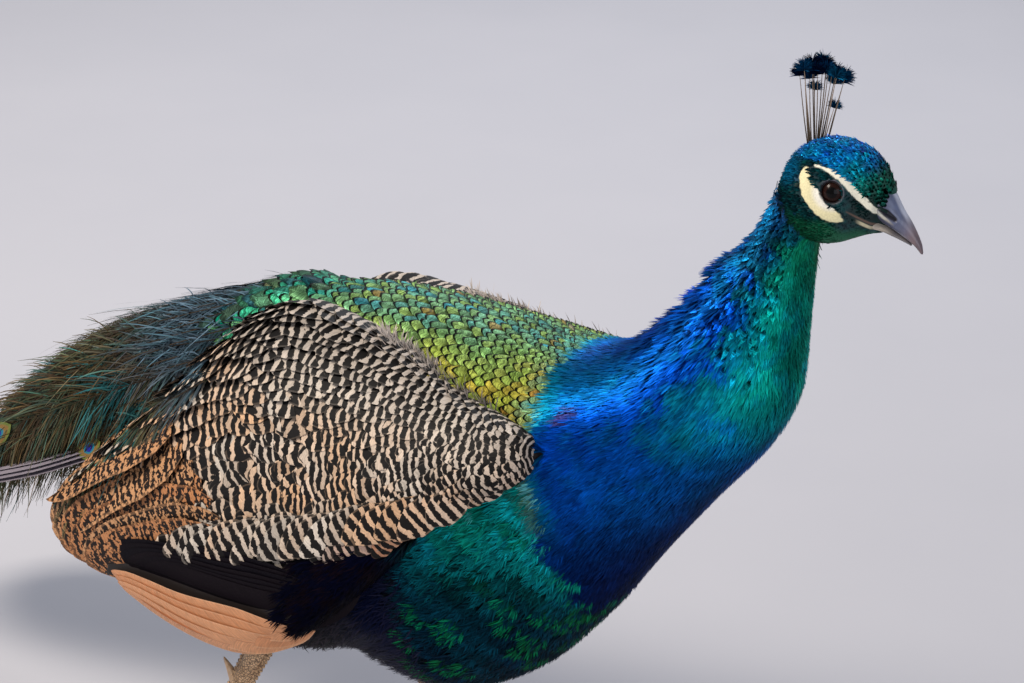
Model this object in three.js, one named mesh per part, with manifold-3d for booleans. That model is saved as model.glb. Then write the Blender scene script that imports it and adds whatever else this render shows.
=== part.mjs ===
// An Indian peacock (Pavo cristatus) with a short, half-grown train, life size, walking with its neck reached
// forward: head turned a little aside, right leg trailing, wings folded and slightly drooped.
// Millimetres, +Z up, +X towards the bill, +Y towards the bird's left. The floor is z = 0.
import * as THREE from 'three';
import { mergeVertices } from 'three/addons/utils/BufferGeometryUtils.js';
import Module from 'manifold-3d';

const wasm = await Module();
wasm.setup();

const { Vector3, CatmullRomCurve3 } = THREE;

// ---------- driving dimensions ----------
const GAP = 0.3; // clearance between touching pieces
const HEAD_AT = [296.5, -16.5, 602]; // midpoint between the eyes
const HEAD_TURN = { yaw: 10, pitch: 8, roll: -8 }; // degrees: left, bill down, right side up
const EYE_RADIUS = 8;
const EYE_SPREAD = 13.2; // eye centre from the head's mid-plane
const BILL_SET_IN = 25; // feathers end and the bare bill begins this far ahead of the eyes
const CREST_ROOT = [-21, 0, 20];
const CREST_HEIGHT = 58;
const CREST_PLUMES = 12;
const CREST_SPREAD = 11; // degrees from the middle plume to the outermost
const CREST_LEAN = 8; // degrees backwards
const LEFT_WING_DIP = 4.4; // degrees
const LEFT_WING_RISE = 5.5;
const FOOT_PAD_DEPTH = 9; // the foot's pad reaches this far under the ankle
const SPUR_LENGTH = 21;
const TOE_LENGTHS = { inner: 56, middle: 74, outer: 60, hallux: 27 };
const TOE_SPREAD = 26; // degrees from the middle toe to its neighbours
const HALLUX_TURN = 158; // degrees from the middle toe, to the inner side
const CLAW_LENGTH = 13;
const BEYOND = 600; // further than any side of the bird, for the blocks that cut it

// ---------- colours ----------
const COLOURS = {
  crown: 0x0f5fae, neck: 0x0a4fae, breast: 0x0b5570, trunk: 0x8a9a3a, rump: 0x2f7a58,
  barred: 0xb09c80, tertial: 0xa87850, secondary: 0x18161c, primary: 0xb8703f,
  train: 0x35503a, tail: 0x6b5f58, thigh: 0x2a2226, shank: 0x8c7a66, claw: 0x3a302a,
  bill: 0x77757c, eye: 0x2a1208, crest: 0x0a2f52,
};

// ---------- shape helpers ----------

// Turns a three.js geometry into a closed manifold-3d solid, faces outwards.
function solid(geometry) {
  const bare = new THREE.BufferGeometry().setAttribute('position', geometry.getAttribute('position'));
  if (geometry.index) bare.setIndex(geometry.index);
  const merged = mergeVertices(bare, 1e-4);
  const corner = merged.getAttribute('position');
  const faces = [];
  const index = merged.index.array;
  let volume = 0;
  const [a, b, c] = [new Vector3(), new Vector3(), new Vector3()];
  for (let i = 0; i < index.length; i += 3) {
    const [p, q, r] = [index[i], index[i + 1], index[i + 2]];
    if (p === q || q === r || r === p) continue;
    faces.push([p, q, r]);
    a.fromBufferAttribute(corner, p);
    b.fromBufferAttribute(corner, q);
    c.fromBufferAttribute(corner, r);
    volume += a.dot(b.cross(c));
  }
  const triVerts = Uint32Array.from(faces.flatMap(([p, q, r]) => (volume < 0 ? [p, r, q] : [p, q, r])));
  return new wasm.Manifold(new wasm.Mesh({ numProp: 3, vertProperties: corner.array, triVerts }));
}

// Lofts a closed body through sections {top, bottom, half, full}: top and bottom are points on the outline,
// half is the half width across them, and full is the superellipse exponent (2 is an ellipse). The ends are
// rounded over the share `cap` of the length, and `grow` makes the whole body fatter by that many millimetres.
function loft(sections, { sides = 24, rings = 20, cap = 0.06, grow = 0 } = {}) {
  const tops = new CatmullRomCurve3(sections.map((s) => new Vector3(...s.top)));
  const bottoms = new CatmullRomCurve3(sections.map((s) => new Vector3(...s.bottom)));
  const sizes = new CatmullRomCurve3(sections.map((s) => new Vector3(s.half, s.full ?? 2, 0)));
  const centreAt = (t) => tops.getPoint(t).add(bottoms.getPoint(t)).multiplyScalar(0.5);
  const ball = new THREE.SphereGeometry(1, sides, rings);
  const corner = ball.getAttribute('position');
  const v = new Vector3();
  for (let i = 0; i < corner.count; i++) {
    v.fromBufferAttribute(corner, i);
    const t = Math.acos(THREE.MathUtils.clamp(v.y, -1, 1)) / Math.PI;
    const round = Math.hypot(v.x, v.z);
    const [side, rise] = round > 1e-6 ? [v.z / round, -v.x / round] : [0, 0];
    const size = sizes.getPoint(t);
    const up = tops.getPoint(t).sub(bottoms.getPoint(t)).multiplyScalar(0.5);
    const ahead = centreAt(Math.min(1, t + 0.01)).sub(centreAt(Math.max(0, t - 0.01))).normalize();
    const across = new Vector3().crossVectors(up, ahead).normalize();
    const toEnd = Math.min(1, Math.min(t, 1 - t) / cap);
    const close = Math.sqrt(Math.max(0, 1 - (1 - toEnd) ** 2));
    const power = 2 / size.y;
    const swell = (x) => Math.sign(x) * Math.abs(x) ** power;
    const half = (size.x + grow) * close * swell(side);
    const height = (up.length() + grow) * close * swell(rise);
    const point = centreAt(t)
      .addScaledVector(up.normalize(), height)
      .addScaledVector(across, half)
      .addScaledVector(ahead, grow * Math.sign(t - 0.5) * (1 - toEnd));
    corner.setXYZ(i, point.x, point.y, point.z);
  }
  return solid(ball);
}

// A limb: a loft with round sections {at, r} about a line. `reference` is roughly square to the line.
function limb(stations, reference, options = {}) {
  const up = new Vector3(...reference).normalize();
  const sections = stations.map(({ at, r, deep = r }) => ({
    top: new Vector3(...at).addScaledVector(up, deep).toArray(),
    bottom: new Vector3(...at).addScaledVector(up, -deep).toArray(),
    half: r,
  }));
  return loft(sections, { sides: 8, rings: 3 * stations.length, ...options });
}

// Everything on one side of a plane square to an axis: past `at` where sense is 1, and short of it where it is -1.
function beyond(axis, at, sense) {
  const box = new THREE.BoxGeometry(2 * BEYOND, 2 * BEYOND, 2 * BEYOND);
  const move = { x: 0, y: 0, z: 0, [axis]: at + sense * BEYOND };
  return solid(box.translate(move.x, move.y, move.z));
}

// A thin sheet standing across the bird through two points of the side view, that parts what it cuts by GAP.
function partingSheet([x0, z0], [x1, z1]) {
  const box = new THREE.BoxGeometry(2 * BEYOND, BEYOND, GAP);
  box.rotateY(-Math.atan2(z1 - z0, x1 - x0));
  return solid(box.translate((x0 + x1) / 2, 0, (z0 + z1) / 2));
}

// The largest connected body of a solid, without the crumbs that a cut can leave.
function largest(shape) {
  return shape.decompose().reduce((best, body) => (body.volume() > best.volume() ? body : best));
}

function joined(shapes) {
  return shapes.reduce((all, shape) => all.add(shape));
}

const bird = new THREE.Group();

function add(name, shape, colour, roughness = 0.6) {
  const { vertProperties, triVerts, numProp } = shape.getMesh();
  const points = new Float32Array((vertProperties.length / numProp) * 3);
  for (let i = 0; i < points.length / 3; i++) {
    points.set(vertProperties.subarray(i * numProp, i * numProp + 3), i * 3);
  }
  const geometry = new THREE.BufferGeometry();
  geometry.setAttribute('position', new THREE.BufferAttribute(points, 3));
  geometry.setIndex(new THREE.BufferAttribute(Uint32Array.from(triVerts), 1));
  geometry.computeVertexNormals();
  const material = new THREE.MeshStandardMaterial({ color: colour, roughness, metalness: 0 });
  const mesh = new THREE.Mesh(geometry, material);
  mesh.name = name;
  bird.add(mesh);
  return shape;
}

// ---------- neck, breast and trunk: one form, from the nape to the rump ----------
// [back x, back z, belly x, belly z, half width, fullness]
const BODY = [
  [268, 609, 290, 572, 18, 2],
  [251, 587, 277, 552, 21.5, 2],
  [233, 559, 272, 522, 25.5, 2],
  [206, 530, 268, 484, 32, 2],
  [168, 487, 262, 443, 44, 2],
  [128, 453, 241, 404, 56, 2],
  [84, 441, 202, 356, 68, 2.1],
  [34, 442, 160, 302, 77, 2.2],
  [-20, 443, 116, 242, 83, 2.3],
  [-76, 441, 62, 184, 86, 2.3],
  [-130, 431, -6, 151, 85, 2.3],
  [-182, 411, -84, 160, 78, 2.2],
  [-228, 380, -156, 198, 63, 2.1],
  [-268, 354, -212, 246, 42, 2],
  [-298, 330, -262, 288, 20, 2],
].map(([bx, bz, vx, vz, half, full]) => ({ top: [bx, 0, bz], bottom: [vx, 0, vz], half, full }));

// The neck swings towards the side that the head is carried on: a smooth shift across, growing with height.
const NECK_BASE_Z = 430;
const NECK_SWING_POWER = 1.3;
function neckSwing(z) {
  const rise = Math.max(0, z - NECK_BASE_Z) / (HEAD_AT[2] - NECK_BASE_Z);
  return HEAD_AT[1] * Math.min(1, rise) ** NECK_SWING_POWER;
}
for (const section of BODY) {
  const middle = (section.top[2] + section.bottom[2]) / 2;
  section.top[1] = neckSwing(middle);
  section.bottom[1] = neckSwing(middle);
}

const BODY_MESH = { sides: 20, rings: 27, cap: 0.03 };
const flesh = loft(BODY, BODY_MESH);
const fleshAndGap = loft(BODY, { ...BODY_MESH, grow: GAP });

// ---------- head: its own frame has the eyes' midpoint at the origin and the bill along +X ----------
const toHead = new THREE.Matrix4()
  .makeTranslation(...HEAD_AT)
  .multiply(
    new THREE.Matrix4().makeRotationFromEuler(
      new THREE.Euler(
        THREE.MathUtils.degToRad(HEAD_TURN.roll),
        THREE.MathUtils.degToRad(HEAD_TURN.pitch),
        THREE.MathUtils.degToRad(HEAD_TURN.yaw),
        'ZYX',
      ),
    ),
  );

// Moves a solid from the head's own frame to its place on the bird.
function onHead(shape) {
  return shape.transform(toHead.elements);
}

// [x, top, bottom, half width, fullness]
const HEAD = [
  [-35, 0, -14, 8, 2],
  [-29, 14, -26, 15, 2],
  [-18, 24, -34, 19.5, 2.1],
  [-6, 28.4, -37, 20, 2.1],
  [6, 28.4, -33.5, 18.8, 2.1],
  [15, 26, -28, 15.8, 2.1],
  [23, 20.5, -23, 13, 2.1],
  [30, 12, -20, 10, 2],
  [35, 5, -17, 7.5, 2],
].map(([x, top, low, half, full]) => ({ top: [x, 0, top], bottom: [x, 0, low], half, full }));

const BILL_UPPER = [
  { top: [21, 0, 13], bottom: [21, 0, -10.6], half: 9.6 },
  { top: [31, 0, 7.6], bottom: [29.5, 0, -12.4], half: 8.6 },
  { top: [40, 0, -2], bottom: [37.5, 0, -15.4], half: 6.8 },
  { top: [48, 0, -10.4], bottom: [44.5, 0, -19], half: 4.9 },
  { top: [55, 0, -20], bottom: [51.5, 0, -23], half: 2.9 },
  { top: [57.8, 0, -28], bottom: [56.4, 0, -28.4], half: 0.9 },
];
const BILL_LOWER = [
  { top: [13, 0, -11.5], bottom: [15, 0, -22.4], half: 8.8 },
  { top: [28, 0, -13], bottom: [29, 0, -20], half: 7.2 },
  { top: [38, 0, -16], bottom: [38, 0, -20.4], half: 5.2 },
  { top: [46, 0, -19.6], bottom: [46.5, 0, -22.4], half: 3 },
  { top: [49.8, 0, -21.8], bottom: [50.2, 0, -23.6], half: 1.2 },
];
const BILL_MESH = { sides: 12, rings: 10, cap: 0.04 };

const billUpper = loft(BILL_UPPER, BILL_MESH);
const billLower = loft(BILL_LOWER, BILL_MESH).subtract(loft(BILL_UPPER, { ...BILL_MESH, grow: GAP }));
const billAndGap = loft(BILL_UPPER, { ...BILL_MESH, grow: GAP }).add(
  loft(BILL_LOWER, { ...BILL_MESH, grow: GAP }),
);
const beyondFace = beyond('x', BILL_SET_IN, 1);

function eyeball(side, grow = 0) {
  const ball = new THREE.SphereGeometry(EYE_RADIUS + grow, 12, 8);
  return solid(ball.translate(0, side * EYE_SPREAD, -0.5));
}

const SKULL_MESH = { sides: 16, rings: 13, cap: 0.1 };
const skull = loft(HEAD, SKULL_MESH);
const eyeSockets = eyeball(1, GAP).add(eyeball(-1, GAP));
const headForm = onHead(skull.subtract(beyondFace.intersect(billAndGap)).subtract(eyeSockets));

// The head takes the top of the neck: everything above a plane just under the jaw and nape.
const NECK_TOP = { nape: [250, 574], jaw: [292, 556] };
const HEAD_CUT = partingSheet(NECK_TOP.nape, NECK_TOP.jaw);
const EYES_AND_BILL = onHead(eyeSockets.add(beyondFace.intersect(billAndGap)));
const wholeFlesh = flesh.add(headForm).subtract(EYES_AND_BILL);

// ---------- cuts across the neck and trunk ----------
const CUTS = [
  HEAD_CUT,
  partingSheet([204, 528], [266, 496]), // upper and lower neck
  partingSheet([118, 456], [236, 392]), // neck and breast
  partingSheet([-6, 452], [92, 180]), // breast and trunk
  partingSheet([-196, 420], [-118, 160]), // trunk and rump
];
const FLESH_NAMES = ['rump', 'trunk', 'breast', 'neck_lower', 'neck_upper', 'head'];
const FLESH_COLOURS = ['rump', 'trunk', 'breast', 'neck', 'neck', 'crown'];

function middleAlongBody(shape) {
  const box = shape.boundingBox();
  return box.min[0] + box.max[0] + box.min[2] + box.max[2];
}
const fleshPieces = CUTS.reduce((shape, cut) => shape.subtract(cut), wholeFlesh)
  .decompose()
  .sort((a, b) => b.volume() - a.volume())
  .slice(0, FLESH_NAMES.length)
  .sort((a, b) => middleAlongBody(a) - middleAlongBody(b));
fleshPieces.forEach((piece, i) => add(FLESH_NAMES[i], piece, COLOURS[FLESH_COLOURS[i]]));

// ---------- bill, eyes and crest ----------
const inFace = (shape) => shape.intersect(beyondFace);
add('bill_upper', onHead(inFace(billUpper)), COLOURS.bill, 0.35);
add('bill_lower', onHead(largest(inFace(billLower))), COLOURS.bill, 0.35);
add('eye_right', onHead(eyeball(-1)), COLOURS.eye, 0.08);
add('eye_left', onHead(eyeball(1)), COLOURS.eye, 0.08);

// A fan of bare shafts that end in small vanes, spread fore and aft over the crown.
const CREST_BASE_LENGTH = 11;
function crestPlume(i) {
  const share = i / (CREST_PLUMES - 1) - 0.5;
  const tilt = THREE.MathUtils.degToRad(CREST_LEAN + 2 * CREST_SPREAD * share);
  const sideways = Math.sin(i * 2.4) * 5;
  const height = CREST_HEIGHT * (1 - 0.18 * Math.abs(Math.sin(i * 1.7))) * (1 - 0.5 * share * share);
  const along = (h, spread) => [
    CREST_ROOT[0] - CREST_BASE_LENGTH * share - Math.sin(tilt) * h,
    sideways * (0.3 + spread),
    CREST_ROOT[2] + Math.cos(tilt) * h,
  ];
  const shaft = limb(
    [
      { at: along(-4, 0), r: 0.6 },
      { at: along(height * 0.5, 0.4), r: 0.45 },
      { at: along(height - 7, 0.9), r: 0.5 },
    ],
    [0, 1, 0],
    { sides: 4, rings: 3 },
  );
  const vane = limb(
    [
      { at: along(height - 10, 0.88), r: 0.8 },
      { at: along(height - 4, 0.95), r: 4.6, deep: 1.2 },
      { at: along(height, 1), r: 1.5, deep: 0.8 },
    ],
    [0, 1, 0],
    { sides: 6, rings: 4, cap: 0.2 },
  );
  return shaft.add(vane);
}
const crestPad = limb(
  [{ at: [-28, 0, 16], r: 2.2 }, { at: [-22, 0, 22], r: 2.8 }, { at: [-15, 0, 25.6], r: 2.2 }],
  [0, 0, 1],
  { sides: 8, rings: 5, cap: 0.2 },
);
const skullAndGap = loft(HEAD, { ...SKULL_MESH, grow: GAP });
const crest = joined([crestPad, ...Array.from({ length: CREST_PLUMES }, (_, i) => crestPlume(i))]);
add('crest', onHead(largest(crest.subtract(skullAndGap))), COLOURS.crest);

// ---------- wings: folded over the flanks, drooping a little behind ----------
// Right wing, front to tip. [top x, y, z, bottom x, y, z, half thickness]; the left wing mirrors y.
const WING = [
  [114, -70, 402, 118, -78, 386, 12],
  [92, -68, 409, 96, -96, 364, 19],
  [46, -58, 414, 50, -105, 334, 24],
  [-10, -50, 429, -12, -108, 268, 27],
  [-62, -46, 437, -72, -107, 208, 27],
  [-118, -44, 437, -130, -103, 174, 23],
  [-186, -46, 394, -194, -97, 165, 16],
  [-256, -49, 326, -258, -88, 167, 11],
  [-326, -52, 262, -322, -76, 170, 8],
  [-384, -54, 204, -376, -62, 172, 4],
].map(([tx, ty, tz, bx, by, bz, half]) => ({ top: [tx, ty, tz], bottom: [bx, by, bz], half, full: 2.2 }));
const WING_MESH = { sides: 14, rings: 16, cap: 0.05 };
const rightWing = loft(WING, WING_MESH);
const rightWingAndGap = loft(WING, { ...WING_MESH, grow: GAP });

// Borders between the feather groups, as lines of the side view.
const UNDER_COVERTS = { front: [126, 366], rear: [-176, 228] };
const UNDER_TERTIALS = { front: [-172, 226], rear: [-400, 148] };
const ABOVE_PRIMARIES = { front: [40, 196], rear: [-330, 182] };
const COVERTS_END = -182;

// Everything below a line of the side view, or below the line lowered by `drop`.
function below({ front, rear }, drop = 0) {
  const slope = (front[1] - rear[1]) / (front[0] - rear[0]);
  const heightAt = (x) => front[1] + slope * (x - front[0]) - drop;
  const [far, near] = [-BEYOND, BEYOND];
  const side = new THREE.Shape();
  side.moveTo(near, heightAt(near));
  side.lineTo(far, heightAt(far));
  side.lineTo(far, -BEYOND);
  side.lineTo(near, -BEYOND);
  const slab = new THREE.ExtrudeGeometry(side, { depth: BEYOND, bevelEnabled: false, steps: 1 });
  return solid(slab.translate(0, 0, -BEYOND / 2).rotateX(Math.PI / 2));
}

function wingPieces(wing, side) {
  const free = largest(wing.subtract(fleshAndGap));
  const behind = beyond('x', COVERTS_END, -1);
  const front = beyond('x', COVERTS_END + GAP, 1);
  const coverts = free.subtract(below(UNDER_COVERTS)).intersect(front);
  const tertials = free.subtract(below(UNDER_TERTIALS)).intersect(behind);
  const flight = free
    .intersect(below(UNDER_COVERTS, GAP))
    .subtract(behind.subtract(below(UNDER_TERTIALS, GAP)));
  const secondaries = flight.subtract(below(ABOVE_PRIMARIES));
  const primaries = flight.intersect(below(ABOVE_PRIMARIES, GAP));
  add(`wing_${side}_coverts`, largest(coverts), COLOURS.barred);
  add(`wing_${side}_tertials`, largest(tertials), COLOURS.tertial);
  add(`wing_${side}_secondaries`, largest(secondaries), COLOURS.secondary);
  add(`wing_${side}_primaries`, largest(primaries), COLOURS.primary);
}
wingPieces(rightWing, 'right');

// Mirrors a wing to the left side, where it is carried with the shoulder higher and the tip lower.
function toLeft(wing) {
  const shoulder = WING[0].top;
  return wing
    .mirror([0, 1, 0])
    .translate([-shoulder[0], 0, -shoulder[2]])
    .rotate([0, -LEFT_WING_DIP, 0])
    .translate([shoulder[0], 0, shoulder[2] + LEFT_WING_RISE]);
}
wingPieces(toLeft(rightWing), 'left');
const wingsAndGap = rightWingAndGap.add(toLeft(rightWingAndGap));

// ---------- train and tail ----------
// [top x, z, bottom x, z, half width, fullness]
const TRAIN = [
  [-90, 430, -120, 380, 22, 2],
  [-150, 433, -170, 360, 40, 2.2],
  [-214, 408, -222, 330, 46, 2.3],
  [-290, 375, -290, 288, 50, 2.3],
  [-360, 337, -358, 244, 53, 2.3],
  [-420, 290, -420, 210, 54, 2.3],
  [-470, 238, -470, 184, 50, 2.3],
  [-530, 190, -530, 158, 42, 2.2],
  [-590, 156, -590, 136, 31, 2],
  [-636, 134, -636, 124, 16, 2],
].map(([tx, tz, bx, bz, half, full]) => ({ top: [tx, 0, tz], bottom: [bx, 0, bz], half, full }));
const TAIL = [
  [-262, 316, -262, 282, 22, 2],
  [-330, 272, -330, 244, 38, 2.4],
  [-400, 236, -400, 214, 50, 2.6],
  [-470, 207, -470, 189, 60, 2.6],
  [-540, 179, -540, 162, 67, 2.6],
  [-610, 150, -610, 135, 65, 2.4],
  [-680, 121, -680, 112, 44, 2],
].map(([tx, tz, bx, bz, half, full]) => ({ top: [tx, 0, tz], bottom: [bx, 0, bz], half, full }));
const TRAIN_MESH = { sides: 14, rings: 14, cap: 0.06 };
const train = loft(TRAIN, TRAIN_MESH);
const trainAndGap = loft(TRAIN, { ...TRAIN_MESH, grow: GAP });
add('train', largest(train.subtract(fleshAndGap).subtract(wingsAndGap)), COLOURS.train);
const tail = loft(TAIL, { sides: 12, rings: 10, cap: 0.08 });
add('tail', largest(tail.subtract(fleshAndGap).subtract(wingsAndGap).subtract(trainAndGap)), COLOURS.tail);

// ---------- legs ----------
// heading is the way the middle toe points, in degrees to the bird's left of +X.
const LEGS = {
  right: {
    side: -1, heading: -6,
    knee: [-20, -52, 250], shin: [-108, -42, 190], hock: [-176, -32, 144], foot: [-246, -30, 20],
  },
  left: {
    side: 1, heading: 8,
    knee: [36, 50, 250], shin: [-34, 42, 188], hock: [-88, 33, 140], foot: [-12, 27, 20],
  },
};

function between(a, b, share) {
  return a.map((value, i) => value + (b[i] - value) * share);
}

function leg(name, { side, heading, knee, shin, hock, foot }) {
  const thighEnd = between(shin, hock, 0.82);
  const thigh = limb(
    [{ at: knee, r: 44 }, { at: shin, r: 30 }, { at: thighEnd, r: 13 }],
    [0, 1, 0],
    { sides: 12, rings: 7, cap: 0.12 },
  );
  const clear = thigh.subtract(fleshAndGap).subtract(wingsAndGap);

  const shankLine = [
    { at: between(shin, hock, 0.6), r: 7 },
    { at: between(shin, hock, 0.84), r: 8.5 },
    { at: hock, r: 10.5 },
    { at: between(hock, foot, 0.16), r: 8.4 },
    { at: between(hock, foot, 0.5), r: 6.8 },
    { at: between(hock, foot, 0.85), r: 7.6 },
    { at: foot, r: 9.5 },
    { at: [foot[0] + 2, foot[1], foot[2] - FOOT_PAD_DEPTH], r: 8 },
  ];
  const shank = limb(shankLine, [0, 1, 0], { rings: 11, cap: 0.05 });
  const shankAndGap = limb(shankLine.map((s) => ({ ...s, r: s.r + GAP })), [0, 1, 0], { rings: 11, cap: 0.05 });
  add(`thigh_${name}`, largest(clear.subtract(shankAndGap)), COLOURS.thigh);
  const footTop = foot[2] + 2;
  add(`shank_${name}`, largest(shank.intersect(beyond('z', footTop + GAP / 2, 1))), COLOURS.shank);

  // The spur stands on the inner back face of the shank, a third of the way up from the foot.
  const spurRoot = between(hock, foot, 0.46);
  const back = [-0.86, -side * 0.3, 0.42];
  const spurAt = (d) => spurRoot.map((value, i) => value + back[i] * d);
  const spur = limb(
    [{ at: spurAt(3), r: 5 }, { at: spurAt(12), r: 3.6 }, { at: spurAt(6 + SPUR_LENGTH), r: 0.7 }],
    [0, 1, 0],
    { sides: 8, rings: 6 },
  );
  add(`spur_${name}`, largest(spur.subtract(shankAndGap)), COLOURS.claw, 0.4);

  // Toes and claws lie along the floor. The claws are let into the toes' ends.
  const turns = { inner: -side * TOE_SPREAD, middle: 0, outer: side * TOE_SPREAD, hallux: side * HALLUX_TURN };
  const underFloor = beyond('z', 0, -1);
  let pad = shank.intersect(beyond('z', footTop - GAP / 2, -1));
  for (const [toe, length] of Object.entries(TOE_LENGTHS)) {
    const angle = THREE.MathUtils.degToRad(heading + turns[toe]);
    const at = (d, z) => [foot[0] + Math.cos(angle) * d, foot[1] + Math.sin(angle) * d, z];
    const toeShape = limb(
      [
        { at: at(0, 13), r: 7.6 }, { at: at(length * 0.3, 7), r: 6.6 }, { at: at(length * 0.5, 5.3), r: 6.2 },
        { at: at(length * 0.75, 4.8), r: 5.6 }, { at: at(length, 4.4), r: 4.4 },
      ],
      [0, 0, 1],
      { rings: 6, cap: 0.06 },
    );
    const toeEnd = limb(
      [{ at: at(length - 12, 4.8), r: 5.6 }, { at: at(length + GAP, 4.4), r: 4.8 }],
      [0, 0, 1],
      { rings: 4, cap: 0.1 },
    );
    const claw = (grow) => limb(
      [
        { at: at(length - 2, 5.2), r: 2.9 + grow },
        { at: at(length + CLAW_LENGTH * 0.4, 5.6), r: 2.3 + grow },
        { at: at(length + CLAW_LENGTH, 1.6), r: 0.6 + grow },
      ],
      [0, 0, 1],
      { sides: 6, rings: 5 },
    );
    const free = claw(0).subtract(toeShape).subtract(toeEnd).subtract(underFloor);
    add(`claw_${name}_${toe}`, largest(free), COLOURS.claw, 0.4);
    pad = pad.add(toeShape).subtract(claw(GAP));
  }
  add(`foot_${name}`, largest(pad.subtract(underFloor)), COLOURS.shank);
}
leg('right', LEGS.right);
leg('left', LEGS.left);

// ---------- the part's frame: origin on the floor under the middle of the whole bird ----------
const extent = new THREE.Box3().setFromObject(bird);
const middle = extent.getCenter(new Vector3());
bird.position.set(-middle.x, -middle.y, -extent.min.z);

const part = new THREE.Group();
part.add(bird);

export default part;
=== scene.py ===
import math

import bpy
import numpy as np
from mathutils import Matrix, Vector
from mathutils.bvhtree import BVHTree
from mathutils.kdtree import KDTree


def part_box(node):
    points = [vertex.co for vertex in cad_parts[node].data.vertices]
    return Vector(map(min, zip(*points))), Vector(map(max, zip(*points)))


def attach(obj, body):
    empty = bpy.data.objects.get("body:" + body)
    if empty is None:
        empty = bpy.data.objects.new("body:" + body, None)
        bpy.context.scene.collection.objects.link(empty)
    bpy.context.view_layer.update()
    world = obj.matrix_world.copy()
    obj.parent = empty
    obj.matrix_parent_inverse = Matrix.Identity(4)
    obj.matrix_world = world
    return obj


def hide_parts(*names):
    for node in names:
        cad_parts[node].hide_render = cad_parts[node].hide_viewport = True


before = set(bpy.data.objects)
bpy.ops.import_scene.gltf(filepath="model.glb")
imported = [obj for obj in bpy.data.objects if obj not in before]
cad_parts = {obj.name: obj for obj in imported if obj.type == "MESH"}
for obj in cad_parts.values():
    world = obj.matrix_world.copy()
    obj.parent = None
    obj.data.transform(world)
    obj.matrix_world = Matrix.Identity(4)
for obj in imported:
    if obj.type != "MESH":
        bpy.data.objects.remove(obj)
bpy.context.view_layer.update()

MM = 0.001
SEED = 20


# ---------- the bird's frame and the head's ----------
HEAD_AT = np.array([296.5, -16.5, 602.0])  # midpoint between the eyes
HEAD_YAW, HEAD_PITCH, HEAD_ROLL = np.radians([10.0, 8.0, -8.0])
EYE_RADIUS = 8.0
EYE_PLACE = np.array([0.0, 13.2, -0.5])  # left eye's centre in the head's frame


def head_turn():
    cy, sy = math.cos(HEAD_YAW), math.sin(HEAD_YAW)
    cp, sp = math.cos(HEAD_PITCH), math.sin(HEAD_PITCH)
    cr, sr = math.cos(HEAD_ROLL), math.sin(HEAD_ROLL)
    about_z = np.array([[cy, -sy, 0], [sy, cy, 0], [0, 0, 1]])
    about_y = np.array([[cp, 0, sp], [0, 1, 0], [-sp, 0, cp]])
    about_x = np.array([[1, 0, 0], [0, cr, -sr], [0, sr, cr]])
    return about_z @ about_y @ about_x


HEAD_TURN = head_turn()


def on_head(points):
    return points @ HEAD_TURN.T + HEAD_AT


def in_head(points):
    return (points - HEAD_AT) @ HEAD_TURN


eye_low, eye_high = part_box("eye_left")
ORIGIN = (np.array(eye_low) + np.array(eye_high)) / 2 / MM - on_head(EYE_PLACE)


def metres(points):
    return (np.asarray(points) + ORIGIN) * MM


# ---------- small sums ----------
def unit(vectors):
    return vectors / np.maximum(np.linalg.norm(vectors, axis=-1, keepdims=True), 1e-9)


def ramp(low, high, x):
    share = np.clip((np.asarray(x, float) - low) / (high - low), 0, 1)
    return share * share * (3 - 2 * share)


def random(part):
    """The part's own numbers, the same on every run."""
    return np.random.default_rng(SEED + sum(ord(letter) for letter in part))


def ripple(points, size, part):
    """Smooth waves of about this many millimetres, between about -1 and 1."""
    rng = random(part)
    total = np.zeros(np.shape(points)[:-1])
    for _ in range(6):
        way = unit(rng.normal(size=3))
        total += np.sin(points @ way * (2 * math.pi / size) * rng.uniform(0.7, 1.5) + rng.uniform(0, 6.28))
    return total / 3.2


def spline(rows, t):
    """A Catmull-Rom curve through the rows, for t from 0 to 1."""
    rows = np.asarray(rows, float)
    padded = np.vstack([2 * rows[0] - rows[1], rows, 2 * rows[-1] - rows[-2]])
    place = np.clip(t, 0, 1) * (len(rows) - 1)
    at = np.minimum(place.astype(int), len(rows) - 2)
    f = (place - at)[..., None]
    p0, p1, p2, p3 = (padded[at + k] for k in range(4))
    return 0.5 * (
        2 * p1 + (p2 - p0) * f + (2 * p0 - 5 * p1 + 4 * p2 - p3) * f**2 + (3 * p1 - p0 - 3 * p2 + p3) * f**3
    )


# ---------- colours ----------
def linear(hexes):
    """A colour written as sRGB hex, as linear red, green and blue. Colours that are linear already stay so."""
    if not isinstance(hexes, str):
        return hexes
    value = hexes.lstrip("#")
    shares = np.array([int(value[i : i + 2], 16) / 255 for i in (0, 2, 4)])
    return np.where(shares <= 0.04045, shares / 12.92, ((shares + 0.055) / 1.055) ** 2.4)


def blend(under, *layers):
    """Lays colours over another in turn: each layer is a colour, then its share for each point."""
    tint = linear(under)
    for over, share in zip(layers[::2], layers[1::2]):
        tint = tint + (linear(over) - tint) * np.asarray(share)[..., None]
    return tint


ROYAL = linear("#0450c8")
NAVY = linear("#022a86")
AZURE = linear("#08588e")
TEAL = linear("#07879e")
GREEN = linear("#068a6e")
DEEP_GREEN = linear("#04493f")
INK = linear("#04141f")
GOLD = linear("#a89a3c")
LEAF = linear("#7a9a3a")
SEA = linear("#1c7f96")
CREAM = linear("#c4b9ac")
BUFF = linear("#cda683")
RUST = linear("#b8652f")
ASH = linear("#a3968e")
SOOT = linear("#17131a")
SMOKE = linear("#a1968f")


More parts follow.
